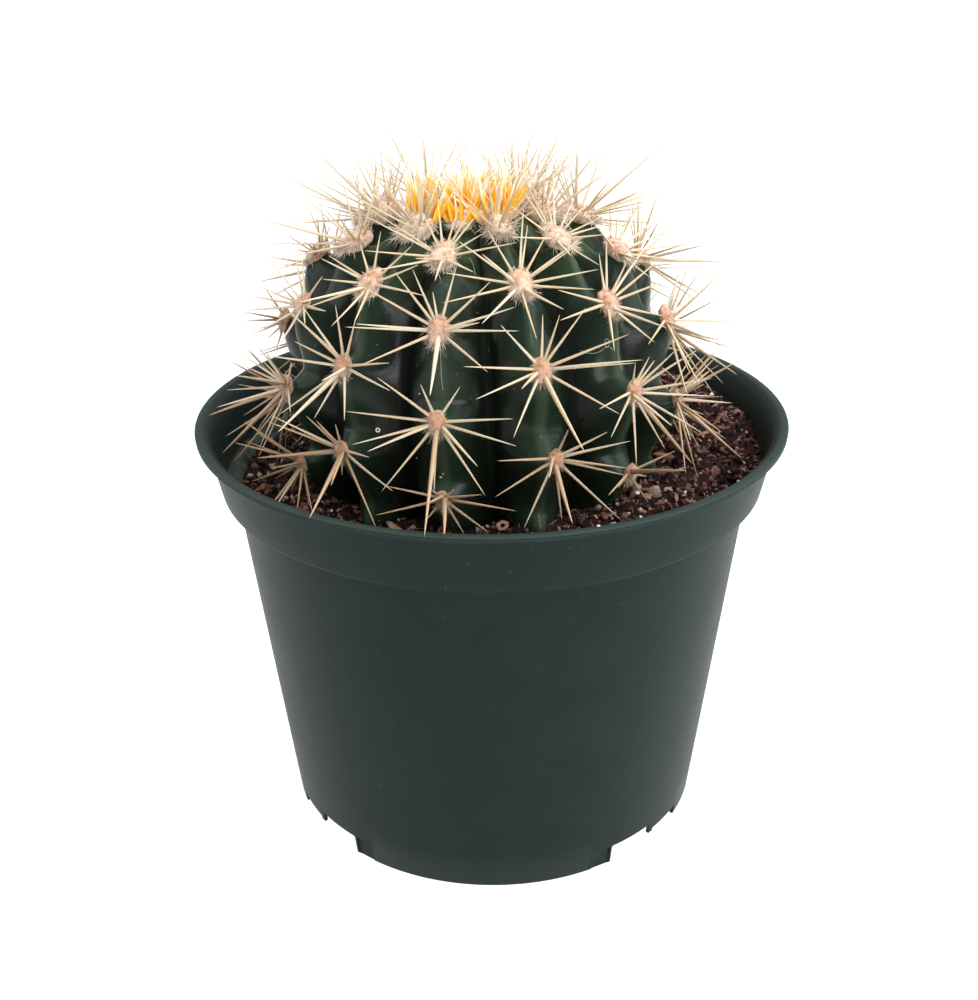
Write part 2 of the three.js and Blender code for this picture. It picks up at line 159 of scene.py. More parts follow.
def copyOf(template, points, **stamps):  # a copy with its own mesh, its points already in place
    data = template.data.copy()
    setPoints(data, points)
    for name, values in stamps.items():
        stamp(data, name, values)
    copy = bpy.data.objects.new(template.name, data)
    bpy.context.collection.objects.link(copy)
    return copy


def drop(piece):
    bpy.data.objects.remove(piece, do_unlink=True)


def newBall(subdivisions):
    selectNone()
    bpy.ops.mesh.primitive_ico_sphere_add(subdivisions=subdivisions, radius=1)
    ball = bpy.context.object
    return ball, pointsOf(ball.data)


def pullUp(rise):
    bpy.ops.mesh.extrude_region_move(TRANSFORM_OT_translate={"value": (0, 0, rise)})


def faceOutwards():
    bpy.ops.mesh.select_all(action="SELECT")
    bpy.ops.mesh.normals_make_consistent(inside=False)


def pulledRings(sides, profile):
    # a circle at the first radius and height, pulled up and scaled ring by ring
    selectNone()
    radius, height = profile[0]
    bpy.ops.mesh.primitive_circle_add(vertices=sides, radius=radius * mm, location=(0, 0, height * mm))
    piece = bpy.context.object
    settle(piece)
    startEditing()
    for nextRadius, nextHeight in profile[1:]:
        pullUp((nextHeight - height) * mm)
        share = nextRadius / radius
        bpy.ops.transform.resize(value=(share, share, 1), center_override=(0, 0, nextHeight * mm))
        radius, height = nextRadius, nextHeight
    stopEditing()
    return piece


def pointedRings(sides, profile, pointRise, flatness=1):
    # rings that end in a point: their heights are shares of the length, and stand for metres
    piece = pulledRings(sides, [(radius, share * 1000) for radius, share in profile])
    bpy.ops.object.mode_set(mode="EDIT")
    pullUp(pointRise)
    bpy.ops.mesh.merge(type="CENTER")
    bpy.ops.mesh.select_all(action="SELECT")
    bpy.ops.mesh.fill_holes(sides=sides)
    faceOutwards()
    bpy.ops.transform.resize(value=(1, flatness, 1), center_override=(0, 0, 0))
    stopEditing()
    return piece


def draw(seed):  # the same repeatable draw as the solids use
    value = math.sin(seed * 12.9898 + 78.233) * 43758.5453
    return value - math.floor(value)


def swing(seed):
    return 2 * draw(seed) - 1


def smoothStep(low, high, value):
    share = np.clip((np.asarray(value, float) - low) / (high - low), 0, 1)
    return share * share * (3 - 2 * share)


# Finishes

class Value:
    # a number socket that takes part in Python sums
    def __init__(self, finish, socket):
        self.finish = finish
        self.socket = socket

    def maths(self, operation, *inputs):
        return self.finish.node("ShaderNodeMath", {"operation": operation}, inputs)

    def __add__(self, other):
        return self.maths("ADD", self, other)

    def __radd__(self, other):
        return self.maths("ADD", other, self)

    def __sub__(self, other):
        return self.maths("SUBTRACT", self, other)

    def __rsub__(self, other):
        return self.maths("SUBTRACT", other, self)

    def __mul__(self, other):
        return self.maths("MULTIPLY", self, other)

    def __rmul__(self, other):
        return self.maths("MULTIPLY", other, self)


class Finish:
    def __init__(self, name, **uniform):
        self.material = bpy.data.materials.new(name)
        self.material.use_nodes = True
        self.tree = self.material.node_tree
        self.shader = self.tree.nodes["Principled BSDF"]
        for socket, value in uniform.items():
            self.shader.inputs[socket.replace("_", " ")].default_value = value

    def node(self, kind, settings, inputs=(), output=0):
        made = self.tree.nodes.new(kind)
        for key, value in settings.items():
            setattr(made, key, value)
        pairs = inputs.items() if isinstance(inputs, dict) else enumerate(inputs)
        for key, value in pairs:
            if isinstance(value, Value):
                self.tree.links.new(value.socket, made.inputs[key])
            else:
                made.inputs[key].default_value = value
        return Value(self, made.outputs[output])

    def place(self):
        return self.node("ShaderNodeTexCoord", {}, output="Object")

    def own(self, name):  # a number stamped on the mesh
        return self.node("ShaderNodeAttribute", {"attribute_name": name}, output="Fac")

    def noise(self, size, detail=3, rough=0.55, stretch=None):
        spot = self.place()
        if stretch:
            spot = self.node("ShaderNodeMapping", {}, {"Vector": spot, "Scale": stretch})
        inputs = {"Vector": spot, "Scale": 1 / (size * mm), "Detail": detail, "Roughness": rough}
        return self.node("ShaderNodeTexNoise", {}, inputs)

    def cells(self, size):
        inputs = {"Vector": self.place(), "Scale": 1 / (size * mm)}
        return self.node("ShaderNodeTexVoronoi", {"feature": "F1"}, inputs, "Distance")

    def ramp(self, value, low, high, fromValue=0.0, toValue=1.0):
        return self.node("ShaderNodeMapRange", {"interpolation_type": "SMOOTHSTEP"},
                         [value, low, high, fromValue, toValue])

    def blend(self, share, first, second):
        color = lambda value: value if isinstance(value, Value) else (*value, 1)
        inputs = {0: share, 6: color(first), 7: color(second)}
        return self.node("ShaderNodeMix", {"data_type": "RGBA"}, inputs, 2)

    def coats(self, look, ground, *coats):  # each colour lies over the ones before, where its share is
        color = look[ground]
        for share, name in coats:
            color = self.blend(share, color, look[name])
        return color

    def bump(self, height, depth, strength, under=None):
        inputs = {"Height": height, "Distance": depth * mm, "Strength": strength}
        if under:
            inputs["Normal"] = under
        return self.node("ShaderNodeBump", {}, inputs)

    def feed(self, **sockets):
        for name, value in sockets.items():
            self.tree.links.new(value.socket, self.shader.inputs[name.replace("_", " ")])
        return self.material


potFinish = {
    "body": (0.0040, 0.0125, 0.0110),
    "pale": (0.0060, 0.0165, 0.0145),
    # painted highlight: "rim" is the lighter colour of the lip, where light catches it
    "rim": (0.030, 0.046, 0.040),
    "dust": (0.16, 0.17, 0.15),
    "inner": (0.017, 0.024, 0.021),
    "ledge": (0.070, 0.082, 0.070),
    "roughness": 0.46,
    "density": 1.21,
}


def potPlastic(look):
    plastic = Finish("potPlastic", IOR=look["density"])
    mottle = plastic.noise(14, 4)
    grain = plastic.noise(0.45, 3, 0.6)
    height = plastic.node("ShaderNodeSeparateXYZ", {}, [plastic.place()], "Z")
    # soil dust dulls the inside, most of all on the ledge over the step
    inside = plastic.own("inside")
    smear = plastic.noise(2.4, 5, 0.65, stretch=(1, 1, 2.5))
    onLedge = plastic.ramp(height, 0.0984, 0.0990) * plastic.ramp(height, 0.1016, 0.1034, 1, 0)
    color = plastic.coats(
        look, "body",
        (plastic.ramp(mottle * 0.6 + grain * 0.4, 0.35, 0.65), "pale"),
        # painted highlight: the lip, from just under its edge upwards, is coloured lighter, as where
        # light catches it
        (plastic.ramp(height + (mottle - 0.5) * 0.0006, 0.1171, 0.1178) * 0.8, "rim"),
        (inside * plastic.ramp(smear, 0.25, 0.7, 0.6, 1.0), "inner"),
        (inside * onLedge * plastic.ramp(smear, 0.34, 0.62), "ledge"),
        (plastic.ramp(plastic.noise(0.9, 2, 0.5), 0.71, 0.78) * 0.16, "dust"))
    rough = look["roughness"] + (mottle - 0.5) * 0.10 + (grain - 0.5) * 0.22
    normal = plastic.bump(grain, 0.05, 0.6, plastic.bump(mottle, 0.25, 0.35))
    return plastic.feed(Base_Color=color, Roughness=rough, Normal=normal)


skinFinish = {
    # painted shade: "deep" darkens the skin towards the grooves and "groove" is the near black at their
    # bottom, where shade falls
    "groove": (0.0010, 0.0018, 0.0010),
    "deep": (0.0030, 0.0050, 0.0028),
    "green": (0.0105, 0.0215, 0.0120),
    # painted highlight: the lighter green of the band along each crest, where light falls on it
    "crest": (0.046, 0.068, 0.040),
    "young": (0.058, 0.098, 0.040),
    "scurf": (0.17, 0.18, 0.14),
    "roughness": 0.21,
    "gloss": 0.30,
}


def cactusSkin(look):
    skin = Finish("cactusSkin", IOR=1.36, Specular_IOR_Level=look["gloss"])
    crest, youth, below = (skin.own(name) for name in ("crest", "youth", "below"))
    broad = skin.noise(9, 4, 0.6)
    fine = skin.noise(0.55, 4, 0.65)
    # painted shade at the bottom of each groove, which is also made rough
    grooveShade = skin.ramp(crest, 0.02, 0.16, 1, 0)
    scurf = skin.ramp(skin.noise(1.6, 5, 0.7, stretch=(1, 1, 0.35)), 0.60, 0.72) * below
    pores = skin.ramp(skin.cells(0.62), 0.10, 0.22, 1, 0)
    specks = skin.ramp(skin.noise(1.1, 1, 0.4), 0.76, 0.80)
    color = skin.coats(
        look, "deep",
        # painted shade: the skin darkens from each crest towards the grooves
        (skin.ramp(crest + (broad - 0.5) * 0.5, 0.15, 1.0), "green"),
        # painted highlight: a lighter band along each crest, stronger near the crown
        (skin.ramp(crest + (fine - 0.5) * 0.04, 0.80, 0.95) * (0.46 + youth * 0.40), "crest"),
        (youth * skin.ramp(broad, 0.35, 0.65) * 0.6, "young"),
        # painted shade: near black at the bottom of each groove
        (grooveShade * 0.9, "groove"),
        (scurf * 0.55, "scurf"), (pores * 0.10, "scurf"), (specks * 0.35, "scurf"))
    rough = look["roughness"] + (fine - 0.5) * 0.14 + scurf * 0.25 + grooveShade * 0.6
    normal = skin.bump(fine, 0.03, 0.5, skin.bump(broad, 0.4, 0.3))
    return skin.feed(Base_Color=color, Roughness=rough, Normal=normal)


spineFinish = {
    "fresh": (0.63, 0.545, 0.41),
    "straw": (0.54, 0.42, 0.275),
    "old": (0.40, 0.26, 0.15),
    "rim": (0.40, 0.26, 0.19),
    "flute": (0.25, 0.155, 0.09),
    "sheer": 0.4,
    "roughness": 0.50,
}


def spineHorn(look):
    # thin horn lets some of the light behind it through
    horn = Finish("spineHorn", IOR=1.45, Subsurface_Weight=look["sheer"], Subsurface_Scale=0.001,
                  Subsurface_Radius=(1.0, 0.85, 0.65))
    tone, age = horn.own("tone"), horn.own("age")
    streak = horn.noise(0.5, 3, 0.6)
    flutes = horn.ramp(horn.own("flute") + (streak - 0.5) * 0.5, 0.55, 1.0)
    color = horn.coats(
        look, "fresh",
        (horn.ramp(tone * 0.55 + streak * 0.45, 0.25, 0.75), "straw"),
        (horn.ramp(age + (streak - 0.5) * 0.3, 0.45, 1.0) * 0.75, "old"),
        (horn.ramp(horn.own("tipward"), 0.0, 0.16, 0.45, 0), "rim"),
        (flutes * (0.18 + age * 0.50), "flute"))
    rings = horn.node("ShaderNodeMath", {"operation": "SINE"}, [horn.own("along") * 9.0 + tone * 40.0])
    rough = look["roughness"] + (streak - 0.5) * 0.2
    return horn.feed(Base_Color=color, Roughness=rough, Normal=horn.bump(rings, 0.05, 0.35))


goldFinish = {
    "root": (0.80, 0.50, 0.14),
    "gold": (0.93, 0.46, 0.018),
    "amber": (0.95, 0.60, 0.06),
    "tip": (0.86, 0.78, 0.62),
    "roughness": 0.38,
}


def goldenSpine(look):
    gold = Finish("goldenSpine", IOR=1.5)
    tipward, tone = gold.own("tipward"), gold.own("tone")
    streak = gold.noise(0.45, 3, 0.6)
    color = gold.coats(
        look, "gold",
        (gold.ramp(tone * 0.5 + streak * 0.5, 0.3, 0.7), "amber"),
        (gold.ramp(tipward + (tone - 0.5) * 0.2, 0.42, 0.62), "tip"),
        (gold.ramp(tipward, 0.0, 0.12, 0.6, 0), "root"))
    rough = look["roughness"] + (streak - 0.5) * 0.2
    normal = gold.bump(gold.noise(0.3, 2, 0.6, stretch=(1, 1, 0.15)), 0.05, 0.4)
    return gold.feed(Base_Color=color, Roughness=rough, Normal=normal)


woolFinish = {
    "peach": (0.74, 0.41, 0.24),
    "cream": (0.75, 0.53, 0.41),
    "rust": (0.50, 0.22, 0.09),
    "shade": (0.38, 0.20, 0.12),
    "old": (0.44, 0.26, 0.17),
    "young": (0.97, 0.76, 0.57),
}
crownWoolFinish = {**woolFinish, "peach": (0.84, 0.62, 0.45), "rust": (0.74, 0.40, 0.16)}


def areoleWool(look, name):
    wool = Finish(name, Roughness=0.95, Sheen_Weight=0.35, Sheen_Roughness=0.6)
    upward, tone, age, youth = (wool.own(kind) for kind in ("upward", "tone", "age", "youth"))
    tufts = wool.noise(0.5, 5, 0.8)
    creases = wool.ramp(wool.cells(1.5) + (tufts - 0.5) * 0.5, 0.42, 0.66)
    sockets = wool.ramp(wool.cells(2.3), 0.10, 0.24, 1, 0)
    worn = wool.ramp(upward, 0.15, 0.5) * (1 - youth * 0.7)
    color = wool.coats(
        look, "cream",
        (wool.ramp(upward + (tufts - 0.5) * 0.7, 0.15, 0.60), "peach"),
        (youth * 0.75, "young"),
        (age * 0.75 + (tone - 0.5) * 0.2, "old"),
        ((sockets * 0.9 + creases * 0.9) * worn, "rust"),
        (wool.ramp(tufts, 0.30, 0.46, 1, 0) * (0.45 - youth * 0.38), "shade"))
    return wool.feed(Base_Color=color, Normal=wool.bump(tufts, 0.5, 0.9))


soilFinish = {
    "black": (0.0065, 0.0036, 0.0036),
    "peat": (0.030, 0.0145, 0.0130),
    "bark": (0.17, 0.080, 0.055),
    "grit": (0.34, 0.26, 0.22),
}


def soilMix(look):
    soil = Finish("soilMix", Roughness=0.93, IOR=1.3)
    broad = soil.noise(3.2, 5, 0.7)
    fine = soil.noise(0.7, 4, 0.7)
    color = soil.coats(
        look, "black",
        (soil.ramp(broad * 0.6 + fine * 0.4, 0.36, 0.62), "peat"),
        (soil.ramp(fine, 0.60, 0.70) * 0.55, "bark"),
        (soil.ramp(soil.noise(0.9, 2, 0.5), 0.70, 0.76) * 0.6, "grit"))
    return soil.feed(Base_Color=color, Normal=soil.bump(fine, 0.6, 1.0, soil.bump(broad, 1.2, 0.8)))


crumbFinish = {
    "dark": (0.0105, 0.0056, 0.0056),
    "maroon": (0.135, 0.066, 0.056),
    "tan": (0.33, 0.215, 0.165),
    "pale": (0.52, 0.41, 0.35),
}


def soilCrumb(look):
    crumb = Finish("soilCrumb", Roughness=0.85, IOR=1.3)
    fine = crumb.noise(0.5, 4, 0.7)
    mix = crumb.own("tone") + (fine - 0.5) * 0.6
    color = crumb.coats(look, "dark", (crumb.ramp(mix, 0.26, 0.70), "maroon"),
                        (crumb.ramp(mix, 0.82, 0.96), "tan"), (crumb.ramp(mix, 0.98, 1.06), "pale"))
    return crumb.feed(Base_Color=color, Normal=crumb.bump(fine, 0.3, 0.8))


barkFinish = {
    "dark": (0.075, 0.026, 0.018),
    "rust": (0.27, 0.115, 0.065),
    "buff": (0.44, 0.27, 0.17),
}


def barkChip(look):
    bark = Finish("barkChip", Roughness=0.8)
    fibre = bark.noise(0.5, 4, 0.7)
    color = bark.coats(look, "dark", (bark.ramp(fibre, 0.35, 0.65), "rust"),
                       (bark.ramp(bark.own("tone") + (fibre - 0.5) * 0.5, 0.60, 0.95), "buff"))
    return bark.feed(Base_Color=color, Normal=bark.bump(fibre, 0.25, 0.8))


perliteFinish = {"pit": (0.42, 0.38, 0.34), "white": (0.86, 0.84, 0.80)}


def perliteGrain(look):
    grain = Finish("perliteGrain", Roughness=0.9)
    pits = grain.noise(0.5, 4, 0.7)
    color = grain.coats(look, "pit", (grain.ramp(pits, 0.35, 0.6), "white"))
    return grain.feed(Base_Color=color, Normal=grain.bump(pits, 0.3, 0.9))


hairFinish = {  # the young colour and the old one
    "areoleHair": ((0.88, 0.70, 0.56), (0.50, 0.36, 0.27)),
    "crownHair": ((0.84, 0.72, 0.60), (0.84, 0.72, 0.60)),
    "rootlet": ((0.30, 0.17, 0.10), (0.16, 0.09, 0.06)),
    "skinHair": ((0.34, 0.37, 0.31), (0.22, 0.25, 0.20)),
    "shadow": 0.62,
}


def softHair(look, name):
    color, oldColor = look[name]
    hair = Finish(name, Roughness=0.8, Sheen_Weight=0.2)
    darker = tuple(look["shadow"] * part for part in color)
    mixed = hair.blend(hair.ramp(hair.own("tone"), 0.1, 0.9), darker, color)
    return hair.feed(Base_Color=hair.blend(hair.own("age"), mixed, oldColor))


print("finishes ready")


# Pot: a thin moulded shell, pulled up ring by ring from the drain hole and back down the inside
potShape = {
    "sides": 192,
    "foot": (61.7, 0.0),
    "step": (72.5, 98.4),
    "collarFoot": (76.6, 101.9),
    "collarTop": 79.6,
    "lip": 82.5,
    "height": 119.0,
    "wall": 1.15,
    "floor": (7.6, 9.0),
    "drainHole": 4.5,
    "drainOrbit": 52.0,
    "notchPairs": (-4, 176),
    "notchSpread": 48,
    "deepNotch": (-12, 2.2, 6.2),
    "shallowNotch": (3.6, 16, 3.6),
    "shortTooth": (1.9, 3.9, 2.6),
    "notchRecess": (-18, -12.4, 6.2),
    "recessReach": 7.2,
    "notchOrbit": 61,
    "notchDepth": 14,
    "notchRounding": 0.5,
    "throat": 117.6,
    "innerRise": 0.4,
    "wallMiddle": ([0, 98.8, 102, 117.6, 119], [61.1, 71.9, 76.0, 79.0, 80.6]),
}


def potOuter(height):
    low, high = potShape["foot"], potShape["step"]
    return low[0] + (high[0] - low[0]) * height / high[1]


def potInner(height):  # the same wall as the solid's, for what must stay inside the pot
    rise, wall = potShape["innerRise"], potShape["wall"]
    (foot, _), (step, stepHeight) = potShape["foot"], potShape["step"]
    collarFoot, collarHeight = potShape["collarFoot"]
    heights = [0, stepHeight + rise, collarHeight + rise, potShape["throat"]]
    radii = [foot - wall, step - wall, collarFoot - wall, potShape["collarTop"] - wall]
    return np.interp(height, heights, radii)


def potRings():
    floorLow, floorHigh = potShape["floor"]
    hole, top, lip, collar = (potShape[key] for key in ("drainHole", "height", "lip", "collarTop"))
    innerFoot = potOuter(floorLow) - potShape["wall"]
    return [
        (hole, floorLow), (20, floorLow), (innerFoot - 1.0, floorLow),
        (innerFoot - 0.3, floorLow - 0.3), (innerFoot - 0.05, floorLow - 1.0),
        (60.6, 0.3), (60.8, 0.0), (61.45, 0.0), (61.72, 0.3),
        (potOuter(12), 12), (potOuter(40), 40), (potOuter(70), 70), (potOuter(98.4), 98.4),
        (72.58, 99.0), (72.75, 99.3), (73.1, 99.5), (76.3, 101.55), (76.55, 101.8), (76.66, 102.15),
        (77.6, 106.8), (78.6, 111.8), (79.4, 116.0), (collar + 0.05, 116.7), (collar + 0.5, 117.1),
        (lip - 1.2, 117.32), (lip - 0.35, 117.4), (lip - 0.15, 117.52), (lip - 0.12, 117.68),
        (lip - 0.34, 117.76), (lip - 0.34, 117.84), (lip - 0.1, 117.94), (lip - 0.08, 118.24),
        (lip - 0.32, 118.34), (lip - 0.32, 118.42), (lip - 0.05, 118.52), (lip, 118.7),
        (lip - 0.08, 118.9), (lip - 0.25, top), (lip - 2.15, top), (lip - 2.4, top - 0.12),
        (lip - 2.7, top - 0.5), (78.6, 117.5), (potInner(112), 112), (potInner(107), 107),
        (potInner(102.8), 102.8), (75.25, 102.15), (71.6, 98.95), (71.25, 98.5), (potInner(90), 90),
        (potInner(50), 50), (potInner(11), 11), (potInner(9.4) - 0.3, 9.3),
        (potInner(9) - 1.0, floorHigh), (20, floorHigh), (hole, floorHigh),
    ]


def cutAway(piece, cutter):
    activate(piece)
    cut = piece.modifiers.new("cut", "BOOLEAN")
    cut.operation = "DIFFERENCE"
    cut.solver = "EXACT"
    cut.object = cutter
    bpy.ops.object.modifier_apply(modifier=cut.name)
    drop(cutter)


def notchBlock(fromAngle, toAngle, height, reach):
    # a block across the foot with rounded edges; a reach further out leaves a skin of the wall inside
    middle = math.radians((fromAngle + toAngle) / 2)
    width = potShape["notchOrbit"] * math.radians(toAngle - fromAngle)
    orbit = potShape["notchOrbit"] + reach
    selectNone()
    bpy.ops.mesh.primitive_cube_add(size=1, location=(0, 0, 0))
    block = bpy.context.object
    block.scale = (width * mm, potShape["notchDepth"] * mm, (height + 2) * mm)
    block.location = (0, 0, (height / 2 - 1) * mm)
    settle(block)
    startEditing()
    bpy.ops.mesh.bevel(offset=potShape["notchRounding"] * mm, segments=2, affect="EDGES")
    stopEditing()
    block.rotation_euler = (0, 0, middle)
    block.location = (orbit * math.sin(middle) * mm, -orbit * math.cos(middle) * mm, 0)
    settle(block)
    return block


def drainCutter(turn):
    selectNone()
    orbit = potShape["drainOrbit"]
    bpy.ops.mesh.primitive_cylinder_add(
        vertices=32, radius=potShape["drainHole"] * mm, depth=6 * mm,
        location=(orbit * math.sin(turn) * mm, -orbit * math.cos(turn) * mm, 8.3 * mm))
    cutter = bpy.context.object
    settle(cutter)
    return cutter


def makePot():
    pot = pulledRings(potShape["sides"], potRings())
    activate(pot)
    startEditing("DESELECT")
    stopEditing()
    hole = potShape["drainHole"] * mm
    for edge in pot.data.edges:  # the first and last ring, round the drain hole
        ends = [pot.data.vertices[i].co for i in edge.vertices]
        edge.select = all(abs(math.hypot(p.x, p.y) - hole) < 1e-6 for p in ends) \
            and abs(ends[0].z - ends[1].z) < 1e-7
    bpy.ops.object.mode_set(mode="EDIT")
    bpy.ops.mesh.select_mode(type="EDGE")
    bpy.ops.mesh.bridge_edge_loops()
    faceOutwards()
    bpy.ops.mesh.select_mode(type="VERT")
    stopEditing()
    cutters = []
    for pair in potShape["notchPairs"]:
        for hand in (-1, 1):
            middle = pair + hand * potShape["notchSpread"]
            for kind in ("deepNotch", "shallowNotch", "shortTooth", "notchRecess"):
                low, high, height = potShape[kind]
                ends = sorted((middle + hand * low, middle + hand * high))
                reach = potShape["recessReach"] if kind == "notchRecess" else 0.0
                cutters.append(notchBlock(*ends, height, reach))
            cutters.append(drainCutter(math.radians(middle)))
    for cutter in cutters:
        cutAway(pot, cutter)
    points = pointsOf(pot.data) / mm
    wallMiddle = np.interp(points[:, 2], *potShape["wallMiddle"])
    stamp(pot.data, "inside", np.hypot(points[:, 0], points[:, 1]) < wallMiddle)
    finishPiece(pot, "potShell", potPlastic(potFinish), ["pot"])
    activate(pot)
    bpy.ops.object.shade_smooth_by_angle(angle=math.radians(38))


makePot()
print("pot made")


# Plant: the ribbed globe. Lengths in millimetres, measured at the woolly pads along the crests.
plant = {
    "centre": (-3.1, -1.8),
    "lean": (-0.025, 0.105),
    "widestHeight": 129.8,
    "radius": 55.65,
    "crownRise": 47.0,
    "squareness": 2.34,
    "undersideDrop": 60.0,
    "ribs": 13,
    "firstRibAngle": -10.3,
    "spacing": 21.85,
    "start": 0.506,
    "step": 6 / 13,
    "oldestArc": 108,
    "youngestArc": 17.5,
    "crestSink": 1.5,
    "tubercleSink": 0.9,
    "tubercle": 2.1,
    "tubercleShelf": 0.28,
    "grooveDepth": 0.165,
    "grooveSharpness": 0.96,
    "columnsPerRib": 22,
    "rings": 190,
    "globeEnd": 0.84 * math.pi,
    "rootShare": 0.90,
    "unevenness": 0.28,
}


def meridian(turn):
    turn = np.asarray(turn, float)
    sine = np.clip(np.sin(turn), 0, 1)
    cosine = np.cos(turn)
    power = 2 / plant["squareness"]
    upper = turn <= math.pi / 2
    radius = plant["radius"] * np.where(upper, sine ** power, sine)
    rise = plant["crownRise"] * np.clip(cosine, 0, 1) ** power
    height = plant["widestHeight"] + np.where(upper, rise, plant["undersideDrop"] * cosine)
    return radius, height


tableTurns = np.linspace(0, 0.85 * math.pi, 2400)
tableRadii, tableHeights = meridian(tableTurns)
tableArcs = np.concatenate([[0], np.cumsum(np.hypot(np.diff(tableRadii), np.diff(tableHeights)))])


def turnAt(arc):
    return np.interp(arc, tableArcs, tableTurns)


def outwardAt(turn):
    turn = np.asarray(turn, float)
    beforeRadius, beforeHeight = meridian(np.maximum(turn - 1e-4, 1e-6))
    afterRadius, afterHeight = meridian(turn + 1e-4)
    across = np.stack([beforeHeight - afterHeight, afterRadius - beforeRadius])
    return across / np.linalg.norm(across, axis=0)


def aroundAxis(angle, radius, height):
    rise = height - plant["widestHeight"]
    x = plant["centre"][0] + plant["lean"][0] * rise + radius * np.sin(angle)
    y = plant["centre"][1] + plant["lean"][1] * rise - radius * np.cos(angle)
    return np.stack(np.broadcast_arrays(x, y, height), axis=-1)


def ribAngle(rib):
    return np.radians(plant["firstRibAngle"] + rib * 360 / plant["ribs"])


def firstArc(rib):
    share = plant["start"] + np.mod(rib, plant["ribs"]) * plant["step"]
    return plant["spacing"] * (share - np.floor(share))


def ribDrop(offset):
    sharp = plant["grooveSharpness"]
    lobe = (1 - np.sqrt(1 - (sharp * offset) ** 2)) / (1 - math.sqrt(1 - sharp ** 2))
    soft = np.sqrt(offset ** 2 + 0.0025) - 0.05
    return 0.22 * lobe + 0.78 * (soft / 0.951) ** 1.06


def swell(arc, rib):
    # each tubercle rises in a short shelf above its areole and falls away slowly below it
    phase = np.mod((arc - firstArc(rib)) / plant["spacing"] - 0.06, 1)
    fall = 1 - plant["tubercleShelf"]
    half = np.where(phase < fall, 0.5 * phase / fall, 0.5 + 0.5 * (phase - fall) / (1 - fall))
    return np.cos(2 * math.pi * half)


def skinPoints(turn, place):
    # the place runs along the ribs: a whole number is a crest, a half is a groove
    rib = np.round(place)
    offset = np.abs(2 * (place - rib))
    radius, height = meridian(turn)
    outX, outZ = outwardAt(turn)
    fade = 1 - smoothStep(0.69 * math.pi, plant["globeEnd"], turn)
    strength = fade * smoothStep(13.5, 25, radius)
    arc = np.interp(turn, tableTurns, tableArcs)
    tubercle = plant["tubercle"] * swell(arc, rib) * (1 - smoothStep(0.0, 0.85, offset))
    groove = plant["grooveDepth"] * radius * ribDrop(offset)
    sink = plant["crestSink"] + strength * (plant["tubercleSink"] + groove - tubercle)
    return aroundAxis(ribAngle(0) + place * 2 * math.pi / plant["ribs"], radius - sink * outX,
                      height - sink * outZ)


# the solid soil: its level, its fall to the left, the heap round the plant and the bank at the wall
solidSoil = {
    "level": 103.1,
    "fall": 0.043,
    "heapHeight": 1.2,
    "bankHeight": 6.5,
    "bankFrom": 48,
    "bankTo": 76,
}


def cadSoil(x, y):  # the solid soil's surface
    lumps = 0.5 * np.sin(0.115 * x + 0.8) * np.cos(0.098 * y - 0.5) \
        + 0.35 * np.sin(0.29 * x - 0.21 * y + 1.1)
    reach = np.hypot(x, y)
    heap = solidSoil["heapHeight"] * (1 - smoothStep(plant["radius"] - 4, plant["radius"] + 12, reach))
    # banked up against the wall at the back right
    facing = np.maximum(x + y, 0) * math.sqrt(0.5) / np.maximum(reach, 1)
    nearWall = smoothStep(solidSoil["bankFrom"], solidSoil["bankTo"], reach)
    bank = solidSoil["bankHeight"] * nearWall * facing ** 3
    return solidSoil["level"] + solidSoil["fall"] * x + lumps + heap + bank


def makeBody():
    selectNone()
    columns = plant["ribs"] * plant["columnsPerRib"]
    bpy.ops.mesh.primitive_uv_sphere_add(segments=columns, ring_count=plant["rings"], radius=1)
    body = bpy.context.object
    ball = pointsOf(body.data)
    polar = np.arccos(np.clip(ball[:, 2], -1, 1)) / math.pi  # 0 at the top, 1 at the root's tip
    angle = np.arctan2(ball[:, 0], -ball[:, 1])
    place = (angle - ribAngle(0)) * plant["ribs"] / (2 * math.pi)
    lastArc = float(np.interp(plant["globeEnd"], tableTurns, tableArcs))
    rootShare = plant["rootShare"]
    turn = turnAt(np.clip(polar / rootShare, 0, 1) * lastArc)
    points = skinPoints(turn, place)
    # below the globe the root narrows to its tip, as in the solid
    rooted = polar > rootShare
    down = (polar - rootShare) / (1 - rootShare)
    endRadius, endHeight = (float(v) for v in meridian(plant["globeEnd"]))
    radii = np.interp(down, [0, 0.4, 0.8, 1], [endRadius - 1.5, 11, 5, 0])
    heights = np.interp(down, [0, 0.4, 0.8, 1], [endHeight, 70, 52, 47])
    points[rooted] = aroundAxis(angle, radii, heights)[rooted]
    points[polar < 1e-6] = aroundAxis(0.0, 0.0, plant["widestHeight"] + plant["crownRise"] - 1.5)
    arc = np.interp(turn, tableTurns, tableArcs)
    rib = np.round(place)
    offset = np.abs(2 * (place - rib))
    # slow unevenness of a grown thing, faded out at the crown
    wave = np.sin(0.11 * points[:, 0] + 1.3) * np.sin(0.13 * points[:, 2] + 0.4) \
        + np.sin(0.19 * points[:, 1] + 0.23 * points[:, 2] + 2.0)
    outX, outZ = outwardAt(turn)
    grown = plant["unevenness"] * wave * smoothStep(20, 40, arc)
    grown *= 1 - smoothStep(0.7, 0.84, turn / math.pi)
    points += grown[:, None] * np.stack([outX * np.sin(angle), -outX * np.cos(angle), outZ], axis=-1)
    setPoints(body.data, points * mm)
    phase = np.mod((arc - firstArc(rib)) / plant["spacing"], 1)
    stamp(body.data, "crest", 1 - offset)
    stamp(body.data, "youth", 1 - smoothStep(14, 52, arc))
    near = (1 - smoothStep(0.08, 0.34, offset)) * smoothStep(0.08, 0.16, phase)
    stamp(body.data, "below", near * (1 - smoothStep(0.3, 0.62, phase)))
    finishPiece(body, "cactusBody", cactusSkin(skinFinish), ["cactus"])


makeBody()
print("body made")


